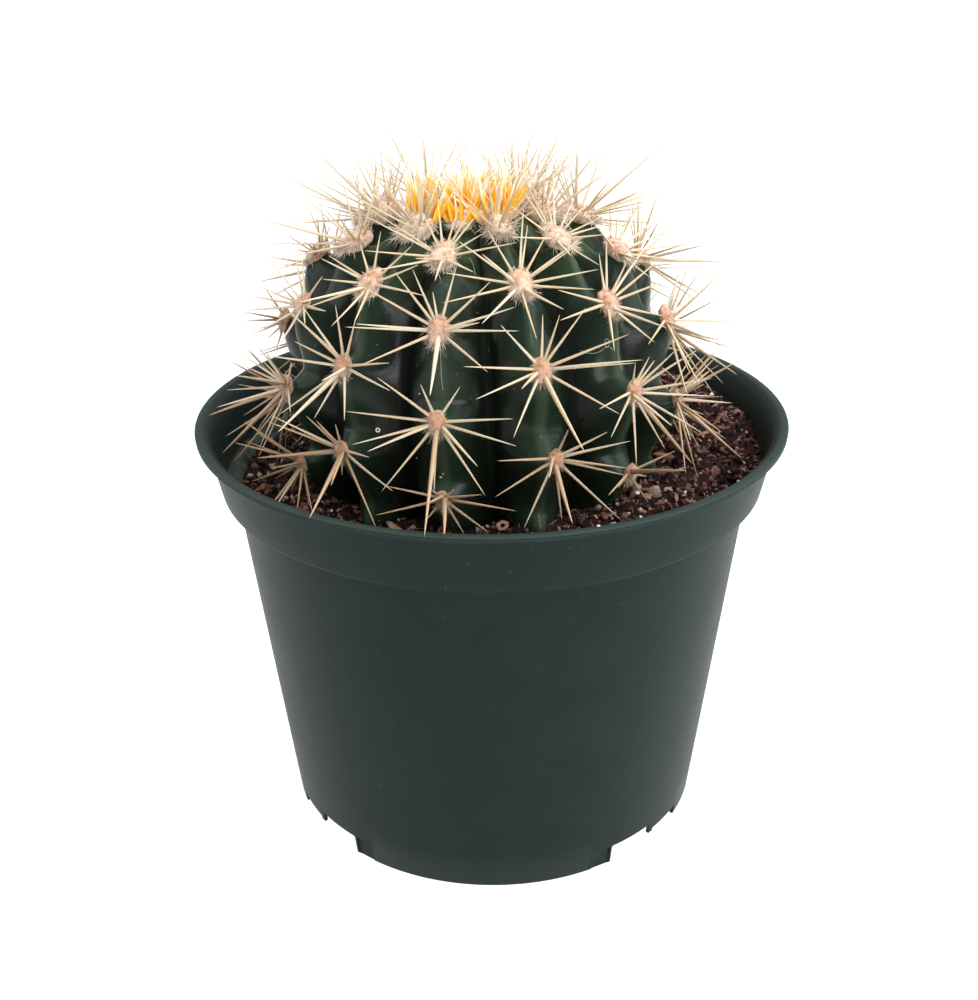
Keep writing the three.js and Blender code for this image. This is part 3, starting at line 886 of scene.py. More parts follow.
# Areoles: their places along the ribs, with the directions out, up the rib and round the plant

# sideways and up the rib, where one grows off its crest
areoleShifts = {(0, 1): (-1.7, -0.6), (0, 4): (0.3, 1.7), (1, 1): (-0.9, 0), (1, 3): (2.2, -0.3),
                (2, 1): (0.4, 1.4), (2, 2): (0, 0.9), (12, 4): (-0.9, 0.4)}


def areoleAt(rib, row):
    arc = float(firstArc(rib)) + row * plant["spacing"]
    turn = float(turnAt(arc))
    angle = float(ribAngle(rib))
    outX, outZ = (float(v) for v in outwardAt(turn))
    out = Vector((outX * math.sin(angle), -outX * math.cos(angle), outZ))
    side = Vector((math.cos(angle), math.sin(angle), 0))
    radius, height = (float(v) for v in meridian(turn))
    spot = Vector(skinPoints(turn, float(rib))) + out * 0.3
    up = out.cross(side)
    sideways, along = areoleShifts.get((rib, row), (0, 0))
    spot += side * sideways + up * along
    return {"rib": rib, "row": row, "arc": arc, "spot": spot, "out": out, "side": side, "up": up,
            "seed": 100 * rib + 1000 * row}


def allAreoles():
    found = []
    for rib in range(plant["ribs"]):
        for row in range(6):
            areole = areoleAt(rib, row)
            spot = areole["spot"]
            if plant["youngestArc"] < areole["arc"] < plant["oldestArc"]:
                if spot.z > float(cadSoil(spot.x, spot.y)) + 1.0:
                    found.append(areole)
    return found


areoles = allAreoles()
print("areoles", len(areoles))


# Wool pads: one felted pad shape in three draws, each with its hairs, copied onto every areole
padShape = {
    "across": 2.9,
    "along": 3.8,
    "high": 2.0,
    "hairs": 190,
    "hairLength": (0.5, 1.2),
    "hairWidth": 0.055,
    "hangingHairs": 130,
    "hangingLength": (1.1, 2.6),
    "felt": 560,
    "feltLength": (0.35, 0.75),
    "feltWidth": 0.075,
    "draws": 3,
}


def roundPad(seed):
    rng = np.random.default_rng(seed)
    pad, ball = newBall(4)
    lumps = np.zeros(len(ball))
    for _ in range(26):  # tufts of felt
        centre = rng.normal(size=3)
        centre /= np.linalg.norm(centre)
        height = rng.uniform(0.05, 0.14)
        lumps += height * np.exp(-((ball - centre) ** 2).sum(1) / rng.uniform(0.03, 0.12))
    lumps += 0.05 * np.sin(17 * ball[:, 0] + seed) * np.sin(15 * ball[:, 1]) * np.sin(19 * ball[:, 2])
    # narrower at the top, fuller below, as a pad that hangs
    shaped = ball * (0.9 + lumps)[:, None]
    shaped[:, 0] *= padShape["across"] * (1 - 0.12 * ball[:, 1])
    shaped[:, 1] *= padShape["along"]
    shaped[:, 2] *= padShape["high"]
    setPoints(pad.data, shaped)
    stamp(pad.data, "upward", np.clip(0.5 + 0.5 * ball[:, 1], 0, 1))
    for name in ("tone", "age", "youth"):
        stamp(pad.data, name, 0.0)
    return pad


def hairTemplate():  # a fine three-sided hair, which bends once along its way
    return pointedRings(3, [(1.0, 0), (0.85, 0.55)], 0.3)


def strandPoints(template, root, direction, length, width, bend):
    # the template's X and Y are its width and its Z, in metres, is the share of its length
    points = pointsOf(template.data)
    ahead = direction.normalized()
    sideways = ahead.orthogonal().normalized()
    share = points[:, 2:]
    wide = points[:, :2] / mm * width
    line = np.array(root) + share * length * np.array(ahead) + share ** 2 * np.array(bend)
    return line + wide[:, :1] * np.array(sideways) + wide[:, 1:] * np.array(ahead.cross(sideways))


def hairyPad(seed, hair):
    rng = np.random.default_rng(seed)
    pieces = []
    for index in range(padShape["hairs"] + padShape["hangingHairs"]):
        hanging = index >= padShape["hairs"]
        around = rng.uniform(0, 2 * math.pi)
        if hanging:
            around = rng.normal(-math.pi / 2, 0.7)
        height = rng.uniform(0, 0.35 if hanging else 0.95)
        level = math.sqrt(1 - height ** 2)
        ball = Vector((math.cos(around) * level, math.sin(around) * level, height))
        root = Vector((ball.x * padShape["across"] * 0.9, ball.y * padShape["along"] * 0.9,
                       ball.z * padShape["high"] * 0.9))
        length = rng.uniform(*padShape["hangingLength" if hanging else "hairLength"])
        lean = Vector(rng.normal(size=3)) * 0.55
        down = Vector((0, -0.5, -0.1)) if hanging else Vector((0, -0.25, 0))
        direction = Vector((ball.x, ball.y, ball.z * 1.2)) + lean + down
        bend = Vector(rng.normal(size=3)) * length * 0.35
        points = strandPoints(hair, root, direction, length, padShape["hairWidth"], bend)
        pieces.append(copyOf(hair, points, tone=rng.uniform(0, 1)))
    return joined(pieces)


def feltTemplate():
    # a short straight fibre: a three-sided point with a closed foot
    selectNone()
    bpy.ops.mesh.primitive_cone_add(vertices=3, radius1=mm, radius2=0, depth=1, location=(0, 0, 0.5))
    fibre = bpy.context.object
    settle(fibre)
    return fibre


def feltedPad(seed, fibre):
    # short fibres all over the pad's upper side, leaning every way
    rng = np.random.default_rng(seed)
    pieces = []
    straight = Vector((0, 0, 0))
    for _ in range(padShape["felt"]):
        around = rng.uniform(0, 2 * math.pi)
        height = rng.uniform(-0.1, 0.99)
        level = math.sqrt(1 - height ** 2)
        ball = np.array([math.cos(around) * level, math.sin(around) * level, height])
        across = padShape["across"] * (1 - 0.12 * ball[1])
        root = ball * np.array([across, padShape["along"], padShape["high"]]) * 0.86
        direction = Vector(ball) + Vector(rng.normal(size=3)) * 0.7
        length = rng.uniform(*padShape["feltLength"])
        points = strandPoints(fibre, root, direction, length, padShape["feltWidth"], straight)
        pieces.append(copyOf(fibre, points, tone=rng.uniform(0, 1), upward=0.5 + 0.5 * ball[1]))
    return joined(pieces)


def setOn(areole, template, scale, **stamps):  # a copy of a pad or of its hairs, on its areole
    turn = np.array([areole["side"], areole["up"], areole["out"]])
    points = (pointsOf(template.data) * scale) @ turn + np.array(areole["spot"])
    return copyOf(template, points * mm, **stamps)


def makeWool():
    hair, fibre = hairTemplate(), feltTemplate()
    pads = [roundPad(11 + index) for index in range(padShape["draws"])]
    hairs = [hairyPad(31 + index, hair) for index in range(padShape["draws"])]
    felts = [feltedPad(51 + index, fibre) for index in range(padShape["draws"])]
    padCopies, hairCopies, feltCopies = [], [], []
    for areole in areoles:
        seed = areole["seed"]
        pick = int(3 * draw(seed + 71)) % padShape["draws"]
        age = float(smoothStep(30, 105, areole["arc"]))
        young = 1 - float(smoothStep(18, 62, areole["arc"]))
        newest = 1 - float(smoothStep(20, 31, areole["arc"]))
        scale = np.array([1.0 + 0.34 * young, 1.0 + 0.34 * young, 1.0 + 0.42 * young + 0.35 * newest])
        scale *= (1 - 0.24 * age) * (1 + 0.06 * swing(seed + 72))
        flip = np.array([1 if draw(seed + 73) > 0.5 else -1, 1, 1])
        looks = {"age": 0.7 * age, "youth": young}
        padCopies.append(setOn(areole, pads[pick], scale, tone=draw(seed + 74), **looks))
        hairCopies.append(setOn(areole, hairs[pick], flip * scale * (1 + 0.18 * young), age=age))
        feltCopies.append(setOn(areole, felts[pick], scale, **looks))
    for template in (hair, fibre, *pads, *hairs, *felts):
        drop(template)
    for copies, name, look in ((padCopies, "areolePads", areoleWool(woolFinish, "areoleWool")),
                               (hairCopies, "areoleHairs", softHair(hairFinish, "areoleHair")),
                               (feltCopies, "areoleFelt", areoleWool(woolFinish, "areoleFelt"))):
        finishPiece(joined(copies), name, look, ["cactus"])


makeWool()
print("wool made")


# Spines: one horn shape, copied for every spine of every star
spineShape = {
    "sides": 7,
    "profile": [(1.0, 0), (0.93, 0.10), (0.84, 0.25), (0.73, 0.42), (0.58, 0.60), (0.40, 0.78),
                (0.2, 0.93)],
    "radials": [-162, -126, -90, -54, -18, 18, 54, 90, 126, 162],
    "radialTilt": 24,
    "upwardTilt": 8,
    "steepest": 78,
    "radialLength": 21.5,
    "upwardShortening": 2.5,
    "bend": 0.028,
    "radialRadius": 0.40,
    "youngRadius": 0.78,
    "youngTilt": 30,
    "centrals": [
        {"clock": 172, "tilt": 44, "length": 28.5, "radius": 0.64},
        {"clock": 3, "tilt": 52, "length": 19, "radius": 0.52},
        {"clock": -107, "tilt": 45, "length": 20, "radius": 0.52},
        {"clock": 108, "tilt": 45, "length": 20, "radius": 0.52},
    ],
    "jitter": {"clock": 9, "tilt": 6, "length": 0.09},
    "clearance": 1.4,
    "outerReach": 81.4,
    "crownReach": 8,
    "topReach": 190.8,
    "seen": {
        "fine": {"tilt": 23, "radius": 0.43, "shortest": 0, "longest": 28},
        "short": {"tilt": 50, "radius": 0.53, "shortest": 20, "longest": 25},
        "strong": {"tilt": 34, "radius": 0.74, "shortest": 26, "longest": 31},
        "over": {"tilt": 62, "radius": 0.74, "shortest": 30, "longest": 36},
        "outerReach": 87,
    },
}

# The stars in front: for each (rib, row), the pixels of the photograph where its spines end.
# The short ones point at the viewer, the strong ones are thick and hang down, and one of those
# reaches out over the lip
starTips = {
    (0, 1): {
        "fine": [(420, 208), (438, 202), (459, 206), (478, 198), (482, 209), (486, 232),
                 (519.5, 242), (370, 271.5), (362, 250.5), (365, 206), (358, 212)],
        "short": [(474.7, 272.7), (414.7, 258.3), (435, 281)],
    },
    (0, 2): {
        "fine": [(352, 323.5), (345, 327), (356, 283), (393, 269.6), (412, 268), (457, 264),
                 (432.6, 291), (491.5, 280.6), (517, 306.5), (522.5, 331), (490, 374), (357, 367)],
        "short": [(480, 322.5)],
        "strong": [(429.7, 397.5)],
    },
    (0, 3): {
        "fine": [(420, 383), (460.7, 385.6), (377, 377.5), (344.4, 411.2), (349, 445.4),
                 (381.2, 491.9), (434, 495.4), (487.4, 498.9), (518, 446.6), (515.3, 418.7)],
        "short": [(367.2, 451.7), (478, 466.8)],
        "over": [(422.3, 540.7)],
    },
    (0, 4): {
        "fine": [(428.6, 488.5), (454.4, 489.5), (386, 486), (373.5, 515.7), (426, 520.5),
                 (464, 534), (490, 533.5), (516, 511), (482.5, 494.5)],
        "short": [(429, 502.9)],
        "strong": [(444, 537)],
    },
    (1, 1): {
        "fine": [(523.6, 207), (527.8, 224), (549, 230), (580, 239.5), (583.5, 240.2),
                 (598.5, 269.4), (596.5, 289.5), (537.2, 340.2), (438, 304), (440.9, 272.2),
                 (456.3, 239.5), (487, 229)],
        "short": [(563.6, 309.3), (480.6, 324.8), (481.3, 253.4)],
    },
    (1, 2): {
        "fine": [(542.7, 312.8), (587, 306.3), (629.8, 333.9), (642.4, 360), (638, 362.8),
                 (621, 415), (513, 439), (475, 399.8), (462.7, 366.5), (500, 324.3), (560.3, 313.3)],
        "short": [(521, 389.6)],
        "strong": [(584.4, 451.3)],
    },
    (1, 3): {
        "fine": [(568.8, 428.5), (609.2, 431), (633, 440.5), (630, 468.5), (625, 475.3),
                 (622, 521), (562, 521), (522.5, 531.5), (494.8, 497.2), (495.6, 460.9)],
        "short": [(549.2, 478.5)],
        "strong": [(578.5, 533)],
    },
    (2, 1): {
        "fine": [(544, 184), (521, 187), (530, 192), (503, 200), (509.8, 236.8), (553, 160),
                 (573, 201), (584, 206), (600, 218), (606, 224.5), (610, 234), (601.5, 266.5)],
        "short": [(571.5, 256)],
    },
    (2, 2): {
        "fine": [(598.9, 252.7), (606.3, 240.2), (628, 259), (658, 229), (660, 259), (668, 280),
                 (664, 316), (656.6, 343.9), (614.7, 352), (556, 289.5)],
        "short": [(559.5, 320.7), (667, 328)],
    },
    (2, 3): {
        "fine": [(635.6, 363), (649.6, 356.6), (655.4, 359.5), (676, 350), (699, 349), (713, 378),
                 (713, 396), (705, 434.7), (666.5, 451.4), (636.5, 468), (610.3, 438.9), (598.4, 409.5)],
        "short": [(674, 427.5)],
        "strong": [(695, 467)],
    },
    (2, 4): {
        "fine": [(677, 450), (671, 453), (607.5, 496.3), (648, 514.7), (631.7, 486), (617.8, 488),
                 (647, 476.5)],
        "strong": [(686, 470.3)],
    },
    (3, 1): {
        "fine": [(599, 229), (650, 263), (651, 278), (700, 243), (692, 262), (690, 222),
                 (672, 204), (618, 205), (634, 200), (606, 214)],
        "strong": [(645, 191)],
    },
    (3, 2): {
        "fine": [(681.5, 266), (676.5, 280), (723.5, 270.5), (746, 321.5), (720, 346),
                 (691, 375.6), (701.5, 387.4), (688, 398), (648, 345)],
        "short": [(712, 340)],
    },
    (12, 2): {
        "fine": [(381, 230), (360, 243), (320, 258), (328, 255), (320.5, 279), (305, 308),
                 (329.6, 328), (424, 295.7), (420.5, 264), (413, 244.5)],
        "short": [(354, 323), (296, 303)],
    },
    (12, 3): {
        "fine": [(335.2, 303.6), (356, 317.5), (303, 307), (262, 355), (277, 416), (313, 420.4),
                 (344.3, 422.4), (390, 363), (292, 340), (390.3, 390.8)],
        "short": [(320.8, 381.2), (291, 313)],
        "strong": [(275, 435)],
    },
    (12, 4): {
        "fine": [(335.2, 423.4), (316, 420.4), (305, 414.9), (270, 415), (266, 421), (342, 476),
                 (394.7, 492.5), (369.7, 457.5), (377, 530)],
        "short": [(330.5, 487)],
        "strong": [(257, 458), (309, 519)],
    },
    (10, 2): {
        "fine": [(311.5, 243), (299, 263), (277, 270), (317, 213), (325, 215), (295, 250),
                 (303, 240), (346, 246), (345, 232), (331, 222)],
    },
    (10, 3): {
        "fine": [(250, 335.5), (257, 329), (244, 320.5), (240, 311), (264, 286.5), (266, 340),
                 (276, 350), (272, 300), (290, 338)],
        "short": [(286, 335)],
    },
    (11, 2): {
        "fine": [(293.6, 249), (302, 255), (267, 256), (247, 295.5), (322.5, 276.5), (240, 311),
                 (258, 286), (253, 335), (276, 350), (305, 325)],
        "short": [(326.6, 311.3)],
    },
    (11, 3): {
        "fine": [(253.5, 341), (241, 354), (267.6, 357), (262.5, 360.7), (240, 364), (226.9, 390),
                 (245.6, 427), (243, 416), (255, 433.5), (258, 451), (290.4, 413), (291.5, 361.5)],
        "short": [(216, 407.5), (233.8, 375.4)],
        "strong": [(212, 456), (207, 416)],
    },
}


def seenTip(areole, spot, manner):
    # along the pixel's line of sight, where the spine rises from the skin as its kind does
    eye = Vector(cameraView["place"]) * 1000
    ray = throughPixel(spot)
    nearest = (areole["spot"] - eye).dot(ray)
    best, leastMisfit = None, 1e9
    for step in range(-64, 65):
        tip = eye + ray * (nearest + step / 2)
        span = tip - areole["spot"]
        tilt = math.degrees(math.asin(span.dot(areole["out"]) / span.length))
        misfit = abs(tilt - manner["tilt"]) / 10
        misfit += max(0, span.length - manner["longest"]) + max(0, manner["shortest"] - span.length)
        if misfit < leastMisfit:
            best, leastMisfit = tip, misfit
    return best


def clearedTip(tip, outerReach):
    # a tip stays over the soil, inside the pot's wall or over its lip, and out of the crown's tuft
    clearance = spineShape["clearance"]
    topRise = plant["crownRise"]
    topX = plant["centre"][0] + plant["lean"][0] * topRise
    topY = plant["centre"][1] + plant["lean"][1] * topRise
    fromTop = Vector((tip.x - topX, tip.y - topY))
    keepOff = spineShape["crownReach"]
    if fromTop.length < keepOff:
        fromTop = fromTop.normalized() * keepOff
        tip.x, tip.y = topX + fromTop.x, topY + fromTop.y
    tip.z = min(max(tip.z, float(cadSoil(tip.x, tip.y)) + clearance), spineShape["topReach"])
    inside = tip.z < potShape["height"] + clearance
    reach = float(potInner(min(tip.z, potShape["throat"]))) - clearance if inside else outerReach
    fromPot = Vector((tip.x, tip.y))
    if fromPot.length > reach:
        fromPot = fromPot.normalized() * reach
        tip.x, tip.y = fromPot.x, fromPot.y
    return tip


def seenSpines(areole):
    listed = []
    for kind, spots in starTips[(areole["rib"], areole["row"])].items():
        manner = spineShape["seen"][kind]
        for spot in spots:
            listed.append({"tip": seenTip(areole, spot, manner), "radius": manner["radius"],
                           "seed": areole["seed"] + 200 + 3 * len(listed),
                           "strong": kind in ("strong", "over")})
    return listed


def spinesOf(areole):
    listed = []
    solidClocks = [-126, -90, -54, 54, 90, 126]
    for clock in spineShape["radials"]:
        upward = math.cos(math.radians(clock))
        seed = areole["seed"] + 3 * solidClocks.index(clock) if clock in solidClocks \
            else areole["seed"] + 30 + abs(clock) // 9 + (5 if clock > 0 else 0)
        listed.append({"clock": clock,
                       "tilt": spineShape["radialTilt"] + spineShape["upwardTilt"] * upward,
                       "length": spineShape["radialLength"] - spineShape["upwardShortening"] * upward,
                       "radius": spineShape["radialRadius"], "seed": seed, "strong": False})
    for index, central in enumerate(spineShape["centrals"]):
        listed.append({**central, "seed": areole["seed"] + 60 + 3 * index, "strong": index == 0})
    return listed


def makeSpines():
    horn = pointedRings(spineShape["sides"], spineShape["profile"], 0.06)
    shape = pointsOf(horn.data)
    share = shape[:, 2]
    column = np.round(np.arctan2(shape[:, 1], shape[:, 0]) * spineShape["sides"] / (2 * math.pi))
    stamp(horn.data, "flute", np.abs(np.sin(2.3 * column + 0.4)))
    jitter = spineShape["jitter"]
    youngRadius = spineShape["youngRadius"]
    copies = []
    for areole in areoles:
        age = float(smoothStep(40, 108, areole["arc"]))
        grown = float(smoothStep(18, 60, areole["arc"]))
        upright = spineShape["youngTilt"] * (1 - float(smoothStep(16, 40, areole["arc"])))
        seen = (areole["rib"], areole["row"]) in starTips
        for spine in seenSpines(areole) if seen else spinesOf(areole):
            seed = spine["seed"]
            thick = spine["radius"] * (youngRadius + (1 - youngRadius) * grown)
            if seen:
                span = spine["tip"] - areole["spot"]
                clock = math.atan2(span.dot(areole["side"]), span.dot(areole["up"]))
                tip = clearedTip(spine["tip"], spineShape["seen"]["outerReach"])
            else:
                clock = math.radians(spine["clock"] + jitter["clock"] * swing(seed))
                tilt = min(spine["tilt"] + upright, spineShape["steepest"])
                tilt = math.radians(tilt + jitter["tilt"] * swing(seed + 1))
                length = spine["length"] * (1 + jitter["length"] * swing(seed + 2))
                direction = areole["up"] * (math.cos(clock) * math.cos(tilt)) \
                    + areole["side"] * (math.sin(clock) * math.cos(tilt)) \
                    + areole["out"] * math.sin(tilt)
                tip = clearedTip(areole["spot"] + direction * length, spineShape["outerReach"])
            foot = areole["up"] * math.cos(clock) * 1.3 + areole["side"] * math.sin(clock) * 1.0
            root = areole["spot"] + foot * (0.6 if spine["strong"] else 0.95)
            reach = (tip - root).length
            bend = Vector((swing(seed + 4), swing(seed + 5), 0.4 * swing(seed + 6)))
            bend = bend * spineShape["bend"] * reach
            points = strandPoints(horn, root, tip - root - bend, reach, thick, bend)
            worn = np.clip(age + 0.2 * swing(seed + 8) + 0.3 * spine["strong"], 0, 1)
            copies.append(copyOf(horn, points * mm, along=share * reach, tipward=share,
                                 tone=draw(seed + 7), age=worn))
    drop(horn)
    finishPiece(joined(copies), "spines", spineHorn(spineFinish), ["cactus"])
    print("spines", len(copies))


makeSpines()


# Crown: the youngest areoles round the growing point, with their flat golden spines
crownShape = {
    "spread": 1.2,
    "farthest": 16.6,
    "padScale": (0.62, 0.95),
    "cushion": {"radius": 12.0, "high": 1.1},
    "inner": {"arcs": (4.5, 10.5), "spines": 8, "share": 0.72},
    "arcs": {0: 17.0, 11: 16.6},
    "late": {(1, 0): 7, (12, 1): 7},
    "lateShift": 3.0,
    "spinesEach": 13,
    "length": (12.0, 17.5),
    "innerLength": 0.72,
    "width": 0.78,
    "leanOut": (2, 26),
    "fanOut": 22,
    "fanSide": 58,
    "reach": 18.5,
    "rootSpread": (2.8, 1.6),
    "bend": 0.08,
    "profile": [(0.8, 0), (1.0, 0.10), (1.02, 0.26), (0.82, 0.40), (0.46, 0.52), (0.30, 0.66),
                (0.20, 0.86)],
    "flatness": 0.45,
}


def youngAreoles():
    # a rib whose first pad is already full starts its next one close to the growing point
    young = []
    inner = crownShape["inner"]
    for rib in range(plant["ribs"]):
        arc = float(firstArc(rib))
        areole = areoleAt(rib, 0)
        if arc <= plant["youngestArc"]:
            arc = crownShape["arcs"].get(rib, min(arc * crownShape["spread"], crownShape["farthest"]))
            areole.update(golden=crownShape["spinesEach"], share=1)
        else:
            arc = inner["arcs"][0] + (inner["arcs"][1] - inner["arcs"][0]) * draw(5100 + rib)
            areole.update(golden=inner["spines"], share=inner["share"])
        turn = float(turnAt(arc))
        areole["spot"] = Vector(skinPoints(turn, float(rib))) + areole["out"] * 0.2
        areole["arc"] = arc
        young.append(areole)
    return young


def lateAreoles():  # the first full pads still carry a few golden spines on their upper side
    return [areole for areole in areoles if (areole["rib"], areole["row"]) in crownShape["late"]]


def crownTop():
    return aroundAxis(0.0, 0.0, plant["widestHeight"] + plant["crownRise"] - plant["crestSink"])


def makeCrownWool():
    # a low felt cushion over the growing point, and a small pad for each young areole
    cushion, ball = newBall(5)
    lumps = 1 + 0.16 * np.sin(9 * ball[:, 0] + 1) * np.sin(8 * ball[:, 1] + 2) * np.sin(7 * ball[:, 2])
    size = crownShape["cushion"]
    shaped = ball * lumps[:, None] * np.array([size["radius"], size["radius"], size["high"]])
    setPoints(cushion.data, (shaped + crownTop()) * mm)
    for name in ("upward", "tone", "age", "youth"):
        stamp(cushion.data, name, 0.0)
    hair = hairTemplate()
    pad = roundPad(15)
    hairs = hairyPad(35, hair)
    pads, tufts = [cushion], []
    low, high = crownShape["padScale"]
    for areole in youngAreoles():
        scale = low + (high - low) * areole["arc"] / crownShape["farthest"]
        pads.append(setOn(areole, pad, scale, tone=draw(areole["seed"] + 75), age=0.0))
        tufts.append(setOn(areole, hairs, scale * 1.15))
    for template in (hair, pad, hairs):
        drop(template)
    finishPiece(joined(pads), "crownWool", areoleWool(crownWoolFinish, "crownWool"), ["crown"])
    finishPiece(joined(tufts), "crownHairs", softHair(hairFinish, "crownHair"), ["crown"])


def makeGoldenSpines():
    strap = pointedRings(8, crownShape["profile"], 0.14, crownShape["flatness"])
    share = pointsOf(strap.data)[:, 2]
    copies = []
    top = crownTop()
    leanLow, leanHigh = crownShape["leanOut"]
    shortest, longest = crownShape["length"]
    inner = crownShape["innerLength"]
    aside, ahead = crownShape["rootSpread"]
    for areole in youngAreoles() + lateAreoles():
        angle = float(ribAngle(areole["rib"]))
        outward = min(areole["arc"] / crownShape["farthest"], 1.2)
        count = areole.get("golden") or crownShape["late"][(areole["rib"], areole["row"])]
        inward = Vector(areole["up"]) * (0 if "golden" in areole else crownShape["lateShift"])
        radial = Vector((math.sin(angle), -math.cos(angle), 0))
        sideways = Vector((math.cos(angle), math.sin(angle), 0))
        for index in range(count):
            seed = 7000 + 40 * areole["rib"] + 3 * index
            clock = (index + 0.6 * draw(seed)) * 2 * math.pi / count
            spread = 0.45 + 0.55 * draw(seed + 1)
            leanOut = math.radians(leanLow + (leanHigh - leanLow) * outward
                                   + crownShape["fanOut"] * spread * math.cos(clock))
            leanSide = math.radians(crownShape["fanSide"] * spread * math.sin(clock))
            length = (shortest + (longest - shortest) * draw(seed + 2)) * areole.get("share", 1)
            length *= inner + (1 - inner) * outward
            way = radial * math.tan(leanOut) + sideways * math.tan(leanSide) + Vector((0, 0, 1))
            root = areole["spot"] + inward + sideways * (aside * math.sin(clock)) \
                + radial * (ahead * math.cos(clock))
            tip = root + way.normalized() * length
            away = Vector((tip.x - top[0], tip.y - top[1]))
            if away.length > crownShape["reach"]:
                away = away.normalized() * crownShape["reach"]
                tip.x, tip.y = top[0] + away.x, top[1] + away.y
            tip.z = min(tip.z, spineShape["topReach"])
            bend = Vector((swing(seed + 5), swing(seed + 6), 0)) * crownShape["bend"] * length
            width = crownShape["width"] * (0.72 + 0.5 * draw(seed + 8))
            points = strandPoints(strap, root, tip - root - bend, (tip - root).length, width, bend)
            copies.append(copyOf(strap, points * mm, tipward=share, tone=draw(seed + 7)))
    drop(strap)
    finishPiece(joined(copies), "goldenSpines", goldenSpine(goldFinish), ["crown"])


makeCrownWool()
makeGoldenSpines()
print("crown made")


# Soil: a lumpy bed, then crumbs, bark, perlite and rootlets pressed into it
soilShape = {
    "grid": 210,
    "wallReach": 75,
    "skirtInset": 0.2,
    "skirtTaper": 0.2,
    "skirtLevels": (98.0, 9.35),
    "farthest": 76,
    "wallClearance": 1.2,
    "plantRadius": 41,
    "plantShift": (0.6, -2.6),
    "lumps": [
        # piece, first seed, subdivisions, roughness, shapes, how many, sizes, lying flat
        ("soilCrumbs", 40, 1, 0.20, [(1, 0.8, 0.7), (1.2, 0.7, 0.6), (0.9, 0.9, 0.8), (1.5, 0.5, 0.5)],
         4600, (0.35, 1.15), False),
        ("soilFlakes", 50, 1, 0.24, [(1.3, 0.9, 0.35), (1.0, 1.0, 0.5), (1.6, 0.7, 0.4)],
         520, (0.9, 1.9), False),
        ("barkChips", 60, 2, 0.12, [(2.0, 0.9, 0.35), (1.6, 0.6, 0.4), (2.4, 0.7, 0.3)],
         170, (0.7, 1.5), True),
        ("perliteGrains", 80, 1, 0.14, [(1, 0.9, 0.8), (1, 0.9, 0.8)], 150, (0.3, 0.7), False),
    ],
    "rootlets": 160,
    "rootletLength": (2.5, 7),
}

soilWaves = [(rng.uniform(0.25, 1.9), rng.uniform(0, 6.3), rng.uniform(0, 6.3))
             for rng in [random.Random(3)] for _ in range(40)]


def soilTop(x, y):
    x, y = np.asarray(x, float), np.asarray(y, float)
    rough = np.zeros(np.broadcast(x, y).shape)
    for pitch, heading, phase in soilWaves:
        along = x * math.cos(heading) + y * math.sin(heading)
        rough += np.sin(pitch * along + phase) / (2.0 + 2.4 * pitch)
    return cadSoil(x, y) + 0.5 * rough - 0.2


def makeSoilBed():
    selectNone()
    cuts = soilShape["grid"]
    bpy.ops.mesh.primitive_grid_add(x_subdivisions=cuts, y_subdivisions=cuts, size=2)
    bed = bpy.context.object
    square = pointsOf(bed.data)
    # the square grid is drawn out into a disc
    u, v = square[:, 0], square[:, 1]
    x = u * np.sqrt(1 - v * v / 2)
    y = v * np.sqrt(1 - u * u / 2)
    reach = np.minimum(np.hypot(x, y), 1)
    angle = np.arctan2(y, x)
    wallReach = soilShape["wallReach"]
    wallHeight = cadSoil(wallReach * np.cos(angle), wallReach * np.sin(angle))
    edge = potInner(wallHeight) - soilShape["skirtInset"]
    flat = np.stack([reach * edge * np.cos(angle), reach * edge * np.sin(angle)], axis=-1)
    heights = soilTop(flat[:, 0], flat[:, 1])
    setPoints(bed.data, np.column_stack([flat, heights]) * mm)
    # the edge goes down the wall to the pot's floor and is closed there
    activate(bed)
    startEditing("DESELECT")
    bpy.ops.mesh.select_mode(type="EDGE")
    bpy.ops.mesh.select_non_manifold(extend=False, use_boundary=True)
    for level in soilShape["skirtLevels"]:
        bpy.ops.object.mode_set(mode="EDIT")
        pullUp(-0.02)
        stopEditing()
        ring = np.array([vertex.select for vertex in bed.data.vertices])
        points = pointsOf(bed.data)
        turned = np.arctan2(points[ring, 1], points[ring, 0])
        inside = float(potInner(level)) - soilShape["skirtInset"] - soilShape["skirtTaper"]
        points[ring] = np.column_stack(
            [inside * np.cos(turned), inside * np.sin(turned), np.full(len(turned), level)]) * mm
        setPoints(bed.data, points)
    bpy.ops.object.mode_set(mode="EDIT")
    pullUp(0)
    bpy.ops.mesh.merge(type="CENTER")
    faceOutwards()
    bpy.ops.mesh.select_mode(type="VERT")
    stopEditing()
    finishPiece(bed, "soilBed", soilMix(soilFinish), ["soil"])


def scattered(rng, count):
    # spots on the open soil between the globe and the wall
    spots = []
    axisX, axisY = np.array(plant["centre"]) + np.array(soilShape["plantShift"])
    farthest = soilShape["farthest"]
    while len(spots) < count:
        x, y = rng.uniform(-farthest, farthest, 2)
        height = float(soilTop(x, y))
        inPot = math.hypot(x, y) <= float(potInner(height)) - soilShape["wallClearance"]
        if inPot and math.hypot(x - axisX, y - axisY) >= soilShape["plantRadius"]:
            spots.append((x, y, height))
    return spots


def lumpTemplate(seed, subdivisions, rough, shape):
    rng = np.random.default_rng(seed)
    lump, ball = newBall(subdivisions)
    ball *= (1 + rough * rng.normal(size=len(ball)))[:, None]
    setPoints(lump.data, ball * np.array(shape))
    stamp(lump.data, "tone", 0.5)
    return lump


